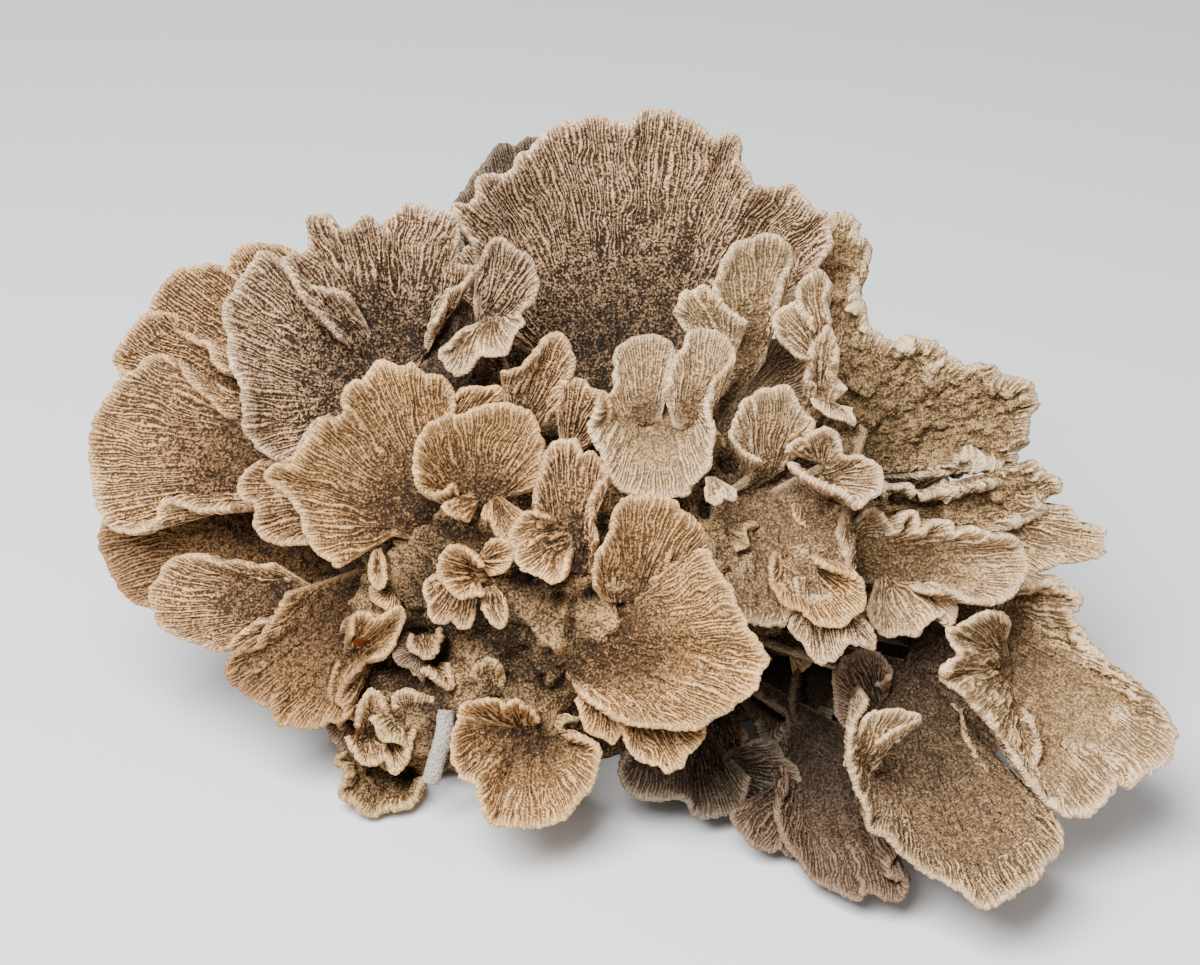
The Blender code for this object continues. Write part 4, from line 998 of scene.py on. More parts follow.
            tone=Tone.CREAM, cup=2.0, root_width=14.0, ridge_reach=18.0),
        Fan(root=(44, 2), rim=((43, -4), (43, -7.5), (46.5, -9), (50, -6.5), (54, -7), (55, -3)),
            depths=(3, 6, 3), tone=Tone.CREAM, cup=0.5, root_width=4.0, lip=2.0),
    ),
    "right_upper_frond": (
        Fan(root=(58, 44, -30), rim=((59.5, 64), (56, 66), (51, 70), (47.5, 74), (46, 79), (48, 86),
                 (51, 92), (54, 96), (60, 98), (67, 99.5), (73, 98.5), (76.5, 94), (76, 88), (73, 82),
                 (71, 70)), depths=(-18, -12, -18), tone=Tone.CREAM, cup=4.0, root_width=18.0),
        Fan(root=(50, 54), rim=((35, 60), (31, 66), (29, 68.5), (31, 72), (34, 76), (38, 76.5), (42, 79),
                 (44, 76), (47, 73), (54, 62)), depths=(6, 8, 6), tone=Tone.CREAM, cup=2.0, root_width=7.0),
    ),
    "right_centre_frond": (
        Fan(root=(66, 4, -16), rim=((65, 9), (58, 12), (54, 16), (51.5, 21), (53.5, 25), (55.5, 29),
                 (57, 33), (61, 35), (65, 38), (70, 39), (75, 38), (79, 33), (82, 28), (85, 25), (84.5, 20),
                 (80, 13)), depths=(-6, -1, -6), tone=Tone.CREAM, cup=3.0, ridge=1.1, root_width=16.0),
    ),
    "right_scroll_frond": (
        Fan(root=(86, 28, -30), rim=((84, 35), (86, 39), (83, 41), (83.5, 46), (85, 55), (88, 59), (91, 63),
                 (94, 58), (95, 52), (93, 46), (94.5, 42), (98.5, 37)), depths=(-20, -14, -20),
            tone=Tone.CREAM, cup=1.0, root_width=9.0, ruffle=3.2, ruffle_length=8.0, ridge=0.5, grain=0.6),
        Fan(root=(88, 54), rim=((86, 64.5), (82, 68), (79.5, 74), (80, 80), (84, 83.5), (89, 85),
                 (91.5, 81), (89.5, 75), (92, 64)), depths=(4, 8, 2), tone=Tone.CREAM, cup=1.0,
            root_width=7.0, lip=3.0),
        Fan(root=(86, 50), rim=((84, 49.5), (79, 51), (75, 54.5), (71.5, 58), (70, 63), (70.5, 67),
                 (74, 70.5), (79, 71), (86, 60)), depths=(4, 8, 2), tone=Tone.CREAM, cup=1.0,
            root_width=7.0, lip=3.0),
        Fan(root=(92, 32), rim=((84, 36), (86, 31.5), (92, 27), (98, 25), (102, 23), (101, 30)),
            depths=(4, 9, 4), tone=Tone.CREAM, cup=0.5, root_width=5.0, ruffle=2.0, ruffle_length=6.0),
    ),
    "right_slab_frond": (
        Fan(root=(92, 16, -52), rim=((92, 88), (94, 107.5), (98, 108.5), (102, 106), (102.5, 100),
                 (107, 98), (106.5, 93), (103, 84), (102, 78), (104, 71), (108, 64), (112, 60), (120, 57.5),
                 (122.5, 56), (128, 56), (131.5, 56), (135, 54), (137.5, 51), (144, 49.5), (148, 46),
                 (155, 47), (159, 45), (160, 42), (165, 42), (171, 40), (172.5, 37), (173, 33), (175, 31),
                 (173.5, 27.5), (171, 26), (171.5, 21), (173, 17), (169.5, 14), (168.5, 10.5), (166, 6.5),
                 (150, 8), (140, 5), (130, 4)), depths=(-56, -50, -40, -34, -32, -36), tone=Tone.SLAB,
            cup=4.0, root_width=30.0, ruffle=1.6, ridge=0.5, ridge_reach=5.0, lump=5.5, crumble=2.6,
            grain=0.85, thickness=5.6),
    ),
    "right_spur_frond": (
        Fan(root=(108, -12, -30), rim=((118, -1), (130, -5), (143, -3), (150, -2), (165, 2), (172, 8),
                 (176, 6), (180, 4), (183, 2.5), (186, -0.5), (183, -4), (178.5, -5), (177, -9.5),
                 (174.5, -13.5), (162, -20), (144, -24)), depths=(-22, -16, -14, -20), tone=Tone.SLAB,
            cup=3.0, root_width=24.0, ruffle=2.2, ruffle_length=12.0, ridge=0.5, ridge_reach=7.0, lump=3.6,
            crumble=2.2, grain=0.7),
        Fan(root=(150, -14), rim=((172, -12), (176, -13), (180, -10.5), (184, -10), (189.5, -11),
                 (191, -15), (194.5, -18), (200, -18.5), (203.8, -20.5), (201.5, -24), (201, -29),
                 (184, -33), (176, -36), (169, -31)), depths=(6, 8, 4), tone=Tone.CREAM, cup=2.0, grain=0.5),
    ),
    "right_bowl_frond": (
        Fan(root=(90, 0, -12), rim=((74, 12), (78, 16), (84, 19), (90, 21.5), (95, 18), (98, 10), (105, 10),
                 (112.5, 5.5), (112.5, -2.5), (106, -7.5), (103, -9.5), (98, -4.5), (90, -1.5), (82, 2.5),
                 (75, 8)), depths=(-2, -2, 4, 16, 18, 4), tone=Tone.CREAM, cup=3.0, root_width=16.0,
            ridge_reach=16.0, lip=2.0),
    ),
    "right_middle_frond": (
        Fan(root=(106, -30, -14), rim=((105, -12), (109, -10), (114, -14), (119, -20), (122.5, -13),
                 (127, -12), (129, -20), (133, -16.5), (137, -15), (141.5, -16), (143, -20), (150, -18.5),
                 (158, -21), (166, -22), (170, -27), (171.5, -34), (168, -42), (162, -47), (154, -48),
                 (146, -46.5), (142, -44), (130, -44)), depths=(-4, 0, 8, 14, 12, 4), tone=Tone.CREAM,
            cup=5.0, root_width=26.0, ridge_reach=16.0, ruffle=2.6, ruffle_length=13.0, lip=2.4),
        Fan(root=(116, -38), rim=((107, -50), (108, -54), (111, -59), (116, -62.5), (121, -61), (127, -61),
                 (131, -57), (137, -54), (139.5, -58), (143.5, -54), (143, -49.5), (134, -46)),
            depths=(8, 16, 18, 10), tone=Tone.CREAM, cup=2.0, ruffle=2.0),
    ),
    "middle_slope_frond": (
        Fan(root=(76, 10, -28), rim=((42, -38), (50, -50), (58, -56), (64, -56), (68, -57), (73, -57),
                 (75, -54), (78, -48), (92, -48), (100, -42), (98, -30), (94, -20)), depths=(8, 16, 14, 6),
            tone=Tone.BOWL, cup=2.0, root_width=66.0, lump=5.0, ridge=0.5, ridge_reach=6.0, grain=0.75),
        Fan(root=(76, -28), rim=((69, -31), (68.5, -38), (70, -43), (74, -48), (82, -52), (88, -58),
                 (96, -58), (102, -54), (106, -48), (106, -43), (103, -38), (94, -35), (86, -31)),
            depths=(16, 22, 26, 22), tone=Tone.GOLD, cup=0.5, root_width=14.0, ruffle=0.8),
        Fan(root=(88, -46), rim=((76, -54.5), (75.5, -58), (78, -63), (82.5, -66.5), (86, -71), (90, -72),
                 (95.5, -70), (98, -65.5), (104, -65), (111, -66.5), (110, -61), (104, -54)),
            depths=(2, 8, 4), tone=Tone.BOWL, cup=2.0, root_width=10.0),
        Fan(root=(84, -8), rim=((77, -9), (78, -13), (81, -17), (86, -20), (92, -19), (93, -12)),
            depths=(5, 8, 5), tone=Tone.TAN, cup=1.0, root_width=12.0, ridge_reach=6.0, lump=1.2, lip=2.0),
    ),
    "spiny_frond": (
        Fan(root=(-10, -34, 10), rim=((-25, -18), (-26, -4), (-23, 6), (-21, 14), (-16, 17.5), (-10, 17),
                 (-7, 12), (-3, 12.5), (0, 9), (3, 4), (0, 0), (-3, -5), (-3, -14), (-1, -24)),
            depths=(18, 24, 28, 22, 14), tone=Tone.TAN, cup=3.0, root_width=14.0, ridge=1.7, grain=0.6),
        Fan(root=(-12, -20), rim=((-13, -30), (-15, -38), (-20, -40), (-27, -36.5), (-33, -33),
                 (-34.5, -26), (-37, -23), (-34, -17), (-28, -12), (-20, -14)), depths=(10, 18, 10),
            tone=Tone.GOLD, cup=3.0, root_width=7.0),
    ),
    "round_frond": (
        Fan(root=(-48, -36, 8), rim=((-46, -44.5), (-51, -45), (-56, -46), (-61, -42), (-65, -37),
                 (-65, -32), (-62, -27), (-57, -25.5), (-52, -28), (-46, -33)), depths=(22, 26, 22),
            tone=Tone.GOLD, cup=4.0, root_width=8.0),
        Fan(root=(-47, -31), rim=((-44, -38), (-42, -36.7), (-38, -35), (-35, -30), (-34, -26), (-40, -22),
                 (-46, -25)), depths=(6, 12, 4), tone=Tone.GOLD, cup=1.0, root_width=6.0),
        Fan(root=(-55, -38), rim=((-66, -38), (-70, -40), (-71, -44), (-69, -49), (-68, -54), (-64, -57),
                 (-59, -55), (-55, -58), (-52, -57), (-50, -50)), depths=(-2, 2, -2), tone=Tone.TAN,
            cup=3.0, root_width=14.0, lip=2.4),
        Fan(root=(-45, -42), rim=((-46, -49), (-45.5, -53), (-43, -57), (-39.5, -58.5), (-37, -55),
                 (-38, -46)), depths=(4, 8, 0), tone=Tone.TAN, cup=1.0, root_width=6.0),
    ),
    "front_great_frond": (
        Fan(root=(-4, -64, 4), rim=((20, -40), (41, -27), (44.7, -31), (48, -35), (50, -38), (52, -42),
                 (55.5, -47.5), (58, -53.5), (60, -59.5), (64, -64), (66.5, -71), (64, -78.5), (59, -85.5),
                 (52, -90), (45, -95), (39, -98.5), (24, -98), (8, -94), (-8, -84)),
            depths=(-8, 38, 54, 50, 46, 26), tone=Tone.GOLD, cup=8.0, root_width=34.0, ruffle=1.8),
        Fan(root=(14, -48), rim=((-2, -42), (-1, -30), (2, -23), (5, -18), (5.5, -12), (8, -8), (14, -6),
                 (21, -5.5), (27, -6), (31, -9), (36, -13), (41, -19), (43, -24), (41, -31), (36, -42)),
            depths=(12, 17, 12, -4), tone=Tone.GOLD, cup=4.0, root_width=26.0),
        Fan(root=(11, -40), rim=((0, -40), (2, -47), (5, -54), (12, -58.5), (18, -58.5), (22, -52),
                 (26, -43)), depths=(10, 12, 4), tone=Tone.GOLD, cup=1.0, root_width=14.0, lip=0.4),
        Fan(root=(14, -86), rim=((41, -97), (41.5, -102), (38, -106.5), (34.5, -111.5), (28.5, -116.5),
                 (24, -114), (16.5, -111), (12, -106.5), (9.6, -100.4), (8, -96)), depths=(10, 16, 8),
            tone=Tone.GOLD, cup=3.0, root_width=9.0),
        Fan(root=(0, -82), rim=((10, -94), (6, -104), (0, -102), (-6, -99), (-10, -87)), depths=(8, 12, 6),
            tone=Tone.GOLD, cup=2.0, root_width=8.0),
    ),
    "front_rosette_frond": (
        Fan(root=(-28, -98, 2), rim=((-14, -101.5), (-6.7, -102.4), (-1, -105.6), (0.2, -110.5),
                 (-1.8, -117), (-5, -123), (-10, -128.5), (-14, -134), (-19, -136), (-26.3, -138.3),
                 (-33.6, -137.4), (-41, -136.6), (-46, -132.6), (-48.7, -126), (-50, -120.3), (-55, -118.7),
                 (-58, -114.6), (-59.3, -107), (-58, -100), (-55, -93.4)), depths=(22, 34, 42, 44, 36, 24),
            tone=Tone.GOLD, cup=9.0, ruffle=2.2, ridge_reach=16.0, root_width=18.0),
        Fan(root=(-32, -98), rim=((-56, -96), (-55.3, -89.3), (-51.6, -87.6), (-46.7, -87), (-41, -87),
                 (-38.5, -89), (-34.4, -87), (-30.4, -89), (-24, -96)), depths=(18, 16, 8), tone=Tone.GOLD,
            cup=4.0, root_width=8.0),
    ),
    "hanging_shadow_frond": (
        Fan(root=(32, -98, -24), rim=((12, -106), (8.7, -112.5), (7.8, -118), (11.3, -124), (16.5, -126.5),
                 (23.4, -127), (34.7, -127.3), (37.3, -132.5), (43.4, -134.7), (49.4, -133.4), (56, -130),
                 (60, -118)), depths=(2, 10, 12, 6), tone=Tone.STONE_AND_PAINTED_SHADE, cup=3.0, root_width=26.0, grain=0.6),
        Fan(root=(48, -114), rim=((59, -105.6), (64, -103), (71, -105), (74.6, -111), (79, -114),
                 (80, -120), (77, -126.5), (71, -131), (65, -134), (60, -131.6), (55.5, -128)),
            depths=(4, 12, 6), tone=Tone.STONE_AND_PAINTED_SHADE, cup=2.0, root_width=10.0),
    ),
    "brown_bottom_frond": (
        Fan(root=(86, -96, -22), rim=((75.5, -122), (71, -131.5), (72, -138.5), (74.6, -145.5),
                 (80, -151.6), (84, -157.7), (90, -162), (96, -164), (104, -167), (106, -164),
                 (115.4, -166.4), (121.5, -166), (123, -160), (118, -158.6), (115.4, -155), (119, -150),
                 (119, -144.6), (106, -128)), depths=(12, 34, 56, 54, 30), tone=Tone.MAUVE, cup=4.0,
            root_width=24.0),
        Fan(root=(78, -120), rim=((62, -130), (53, -132.5), (55.5, -138.6), (60.7, -144.7), (67.7, -148),
                 (72, -147), (77, -150), (82, -142)), depths=(12, 26, 20), tone=Tone.MAUVE, cup=2.0,
            root_width=9.0),
    ),
    "bottom_right_bowl_frond": (
        Fan(root=(118, -76, -14), rim=((107, -86), (105, -91), (101, -97), (100, -105), (100, -113),
                 (103, -124), (107, -132), (108, -139), (115, -142), (122, -150), (132, -157), (143, -163),
                 (154, -170.5), (163, -166), (174, -159), (179, -152), (184, -147), (185.5, -141),
                 (181, -136), (172, -132), (165, -124), (156, -118), (150, -110), (144, -94), (136, -84)),
            depths=(40, 60, 62, 74, 86, 76, 40, 12, -22), tone=Tone.BOWL, cup=16.0, root_width=34.0,
            ruffle=2.0, lip=1.4, ridge_reach=16.0, ridge=0.9, grain=0.5),
        Fan(root=(104, -114), rim=((101, -103), (106, -95), (111, -91.5), (119, -90.5), (129, -93),
                 (119, -98), (110, -104)), depths=(6, 12, 14, 4), tone=Tone.CREAM, cup=1.0, root_width=14.0,
            ruffle=2.0, lip=2.4),
        Fan(root=(112, -90), rim=((103, -97), (98, -98), (94, -93), (93, -86), (93.5, -79), (95, -72),
                 (98, -68.5), (104, -67), (110, -67.5), (114, -71), (116.5, -75.5), (110, -82)),
            depths=(8, 2, 6), tone=Tone.MAUVE, cup=1.0, root_width=9.0),
        # This lobe walls in the shadowed inside of the bowl, and its dark finish there is partly painted
        # shade
        Fan(root=(122, -72), rim=((134, -124), (146, -122), (156, -114), (162, -104), (164, -92),
                 (162, -80), (152, -66)), depths=(-4, 2, 6, 2, -6), tone=Tone.MAUVE, cup=4.0,
            root_width=44.0, ridge_reach=8.0, grain=0.6),
    ),
    "outer_right_bowl_frond": (
        Fan(root=(134, -50, -24), rim=((150, -42), (169, -41.5), (177, -41.5), (183, -39), (182.5, -43),
                 (188, -44), (193, -46), (193, -50), (190, -53), (194, -61), (197.5, -66), (205, -71.5),
                 (204, -75.5), (211.5, -78), (218, -83), (224, -88.5), (228.5, -94), (227.7, -97),
                 (231, -102), (228.5, -108.5), (224, -115), (216.5, -117), (214.5, -121.5), (210, -121),
                 (206, -119), (204, -124.5), (199.5, -129), (193, -132.5), (186, -133.5), (180.5, -129.5),
                 (174, -122), (164, -108)), depths=(-14, -8, 0, 14, 34, 50, 46, 32), tone=Tone.CREAM,
            cup=12.0, root_width=38.0, ruffle=2.0, ridge_reach=20.0, lump=1.8, crumble=1.7, ridge=0.9,
            grain=0.5),
        Fan(root=(164, -76), rim=((164.4, -57), (159.7, -52), (154, -51), (149.4, -53.6), (144.6, -57.4),
                 (139.4, -59.3), (141, -64), (143.7, -69), (139, -72.5), (136.6, -76.3), (138, -80),
                 (144.6, -84), (147.5, -87.6), (149.4, -91.4), (154, -95), (158, -100), (163.5, -106.5),
                 (166, -112), (171, -115), (176, -108), (172, -94)), depths=(14, 30, 36, 34, 30),
            tone=Tone.CREAM, cup=2.0, root_width=20.0, ruffle=3.0, ruffle_length=9.0, lip=3.0, lump=1.4,
            ridge=0.9, grain=0.5),
    ),
}

FOOT_FANS = (
    Fan(root=(-90, -104, -24), rim=((-97, -98), (-95, -87.5), (-91.5, -83.5), (-86.7, -87), (-84, -97)),
        depths=(-10, -4, -10), tone=Tone.TAN, cup=1.0, root_width=14.0),
    Fan(root=(-74, -98, -24), rim=((-82, -92), (-82, -85), (-76, -84), (-67, -87), (-64.6, -92)),
        depths=(-8, 0, -8), tone=Tone.TAN, cup=1.0),
    Fan(root=(-88, -100, -26), rim=((-103, -102), (-95.7, -112), (-90, -113), (-85, -109.7),
             (-82.6, -115.4), (-79.4, -113.8), (-76, -108), (-74, -96)), depths=(-8, 4, -6), tone=Tone.TAN,
        cup=1.0, root_width=14.0),
    Fan(root=(-70, -62, -16), rim=((-76, -60), (-76, -66), (-70, -70), (-65.5, -67), (-64.6, -58)),
        depths=(0, 6, 0), tone=Tone.TAN, cup=1.0),
    Fan(root=(-70, -72, -16), rim=((-77, -74), (-73.6, -77), (-68.7, -76), (-64, -79.5), (-59, -82),
             (-60, -72)), depths=(0, 7, 2), tone=Tone.TAN, cup=1.0, root_width=8.0),
    Fan(root=(-47, -92, -14), rim=((-54, -86), (-53, -79), (-50, -73), (-44, -71), (-39, -74.6),
             (-39, -87)), depths=(-2, 3, -2), tone=Tone.BASE, cup=0.5, root_width=12.0, ridge_reach=40.0),
    Fan(root=(-84, -116, -30), rim=((-100, -108), (-106, -111), (-102, -116), (-105, -125), (-99, -129),
             (-92, -134), (-84, -131), (-76, -128), (-70, -118)), depths=(-14, -6, -4, -10), tone=Tone.BASE,
        cup=2.0, root_width=30.0, ridge_reach=6.0, grain=0.7, lump=1.5),
    Fan(root=(-96, -84, -30), rim=((-104, -72), (-108, -82), (-106, -94), (-102, -102), (-94, -102)),
        depths=(-18, -10, -16), tone=Tone.BROWN, cup=2.0, root_width=16.0),
    # Painted shade: these two near-black sheets fill the dark hollow under the right-hand fronds
    Fan(root=(76, -62, -46), rim=((48, -58), (50, -76), (60, -94), (76, -104), (94, -106), (112, -98),
             (126, -84), (126, -62)), depths=(-34, -30, -34), tone=Tone.PAINTED_SHADE, cup=1.0, root_width=60.0,
        ridge_reach=4.0),
    Fan(root=(84, -84, -44), rim=((79, -74), (77, -88), (80, -98), (90, -99), (93, -86)),
        depths=(-28, -18, -28), tone=Tone.PAINTED_SHADE, cup=1.0),
    Fan(root=(-60, 22, -34), rim=((-74, 44), (-74, 62), (-66, 72), (-54, 72), (-46, 60), (-46, 44)),
        depths=(-46, -44, -46), tone=Tone.MAUVE, cup=0.0, root_width=24.0, ridge_reach=4.0, grain=0.9,
        lump=4.0),
    Fan(root=(92, -104, -46), rim=((89, -101), (92, -112), (96, -120), (103, -118), (102, -106)),
        depths=(-28, -20, -28), tone=Tone.MAUVE, cup=1.0),
    Fan(root=(50, -96, -40), rim=((40, -98), (42, -108), (46, -114), (52, -118), (58, -112), (58, -100)),
        depths=(-22, -12, -22), tone=Tone.MAUVE, cup=1.0, root_width=14.0),
    Fan(root=(74, -90, -46), rim=((62, -96), (64, -103), (70, -105), (76, -100), (82, -98), (90, -97),
             (94, -90)), depths=(-26, -18, -26), tone=Tone.STONE_AND_PAINTED_SHADE, cup=1.0, root_width=16.0),
)

SHELVES: dict[str, Shelf] = {
    "back_high_left_frond": Shelf(bearing=116, height=104, reach=72, spread=100, rise=34),
    "back_high_right_frond": Shelf(bearing=60, height=100, reach=80, spread=96, rise=30),
    "back_middle_frond": Shelf(bearing=88, height=72, reach=88, spread=104, rise=16),
    "back_left_frond": Shelf(bearing=142, height=58, reach=86, spread=84, rise=14),
    "back_right_frond": Shelf(bearing=36, height=60, reach=92, spread=84, rise=14),
    "back_low_middle_frond": Shelf(bearing=92, height=34, reach=66, spread=96, rise=10),
    "back_low_left_frond": Shelf(bearing=162, height=30, reach=62, spread=80, rise=8),
    "back_low_right_frond": Shelf(bearing=14, height=32, reach=72, spread=80, rise=8),
}

# Hollows and swells of the base's front: (across, up) on the sighting plane,
# radius and depth in millimetres, and how much painted shade darkens it (or,
# below zero, how much painted highlight makes it pale)
BASE_HOLLOWS = (
    (-76.0, -70.0, 13.0, 13.0, 0.9),
    (-62.0, -102.0, 8.0, 6.0, 0.8),
    (-72.0, -88.0, 7.0, 5.0, 0.7),
    (-44.0, -48.0, 13.0, 3.0, 0.45),
    (-60.0, -40.0, 11.0, 4.0, 0.6),
    (-20.0, -34.0, 9.0, 4.0, 0.6),
    (-30.0, -62.0, 6.0, 3.0, 0.5),
    (-12.0, -64.0, 15.0, -1.0, -0.6),
    (4.0, -78.0, 9.0, -1.0, -0.5),
    (-44.0, -92.0, 10.0, -2.0, 0.2),
    (26.0, -66.0, 9.0, 5.0, 0.8),
    (66.0, -30.0, 8.0, 3.0, 0.5),
)

# Skin: how fine each texture is, per metre, and its detail
DRIFT_GRAIN = (38.0, 4.0)
PATCH_GRAIN = (85.0, 5.0)
KNOB_GRAIN = (460.0, 2.5)
SPECK_GRAIN = (1050.0, 2.5)
PIT_SCALE = 820.0

# Skin: the colours of dirt and painted shade in the grooves and pores, and of rust, linear, and the tone that
# contrast turns about
OUTER_DIRT_AND_SHADE = (0.055, 0.028, 0.012, 1.0)
INNER_DIRT_AND_SHADE = (0.012, 0.008, 0.005, 1.0)
RUST_COLOUR = (0.26, 0.055, 0.012, 1.0)
MID_TONE = 0.42

# Skin: where each blend starts and ends
ROOT_BLEND = (0.12, 0.74)
RIM_BLEND = (0.50, 1.10)
RIM_RIDGE_BLEND = (0.86, 1.0)
PATCH_BLEND = (0.48, 0.70)
PATCH_INWARD_BLEND = (0.10, 0.45)
POWDER_AND_HIGHLIGHT_BLEND = (0.45, 0.82)
GROOVE_BLEND = (0.16, 0.56)
GROOVE_RIM_BLEND = (0.55, 1.0)
DIRT_AND_SHADE_BLEND = (0.0, 0.50)
PORE_BLEND = (0.10, 0.46)
PORE_INWARD_BLEND = (0.0, 0.60)
PORE_KNOB_BLEND = (0.30, 0.62)
PORE_RIM_BLEND = (0.80, 1.0)

# Skin: what each value is multiplied by, and what is then added
WANDER = (0.6, -0.3)
BARE_RIDGES = (-0.9, 1.0)
RIM_RIDGES = (-0.5, 1.0)
KNOBBLY_RIDGES = (2.6, -0.30)
BARE_GRIT = (0.75, 1.0)
BLOTCH_CONTRAST = (0.80, -1.16)
RIM_GROOVES = (-0.50, 1.0)
INWARD_PORES = (0.50, 0.52)
RIM_PORES = (-0.6, 1.0)
SLOW_TONE = (1.15, 0.42)
SPECK_ROUGHNESS = (0.14, 0.82)
UNEVEN_RIDGES = (3.6, -1.8)

# Skin: shares
RIM_WANDER = 0.8
RIM_SHARE = 0.62
PATCH_SINK = 0.26
BARE_SINK = 0.05
CONTRAST = 1.42
PORE_DEPTH = -0.45
PIT_MIDDLE = 0.42
PIT_GRIT = 0.55
RIDGE_HEIGHT = 0.50
RELIEF_HEIGHT = 0.42
GRAIN_MIDDLE = 0.29


def math_node(tree: bpy.types.NodeTree, operation: str, first: object, second: object = 0.0,
              third: object = None) -> bpy.types.NodeSocket:
    """A Math node whose inputs are sockets or numbers.

    Args:
        tree: the tree that gets the node.
        operation: the node's operation.
        first: its first input.
        second: its second input.
        third: its third input, where the operation has one.

    Returns:
        The node's output.
    """
    node = tree.nodes.new("ShaderNodeMath")
    node.operation = operation
    for number, value in enumerate((first, second, third)):
        if isinstance(value, bpy.types.NodeSocket):
            tree.links.new(value, node.inputs[number])
        elif value is not None:
            node.inputs[number].default_value = value
    return node.outputs[0]


def mix_node(tree: bpy.types.NodeTree, share: object, first: object, second: object,
             blend: str = "MIX") -> bpy.types.NodeSocket:
    """A colour Mix node whose inputs are sockets or values.

    Args:
        tree: the tree that gets the node.
        share: how much of the second colour is mixed in.
        first: the first colour.
        second: the second colour.
        blend: the node's blend type.

    Returns:
        The node's colour output.
    """
    node = tree.nodes.new("ShaderNodeMix")
    node.data_type = "RGBA"
    node.blend_type = blend
    node.clamp_factor = True
    for socket, value in ((node.inputs[0], share), (node.inputs[6], first), (node.inputs[7], second)):
        if isinstance(value, bpy.types.NodeSocket):
            tree.links.new(value, socket)
        else:
            socket.default_value = value
    return node.outputs[2]


def ramp_between(tree: bpy.types.NodeTree, value: bpy.types.NodeSocket, low: float,
                 high: float) -> bpy.types.NodeSocket:
    """A smooth step of a value from 0 at low to 1 at high, as a Map Range node."""
    node = tree.nodes.new("ShaderNodeMapRange")
    node.interpolation_type = "SMOOTHSTEP"
    tree.links.new(value, node.inputs["Value"])
    node.inputs["From Min"].default_value = low
    node.inputs["From Max"].default_value = high
    return node.outputs["Result"]


def noise_node(tree: bpy.types.NodeTree, place_socket: bpy.types.NodeSocket, scale: float,
               detail: float = 3.0) -> bpy.types.NodeSocket:
    """The Factor of a Noise Texture on a place."""
    node = tree.nodes.new("ShaderNodeTexNoise")
    tree.links.new(place_socket, node.inputs["Vector"])
    node.inputs["Scale"].default_value = scale
    node.inputs["Detail"].default_value = detail
    return node.outputs["Fac"]


def attribute_node(tree: bpy.types.NodeTree, name: str) -> bpy.types.NodeSocket:
    """The factor of one of a sheet's own attributes."""
    node = tree.nodes.new("ShaderNodeAttribute")
    node.attribute_name = name
    return node.outputs["Fac"]


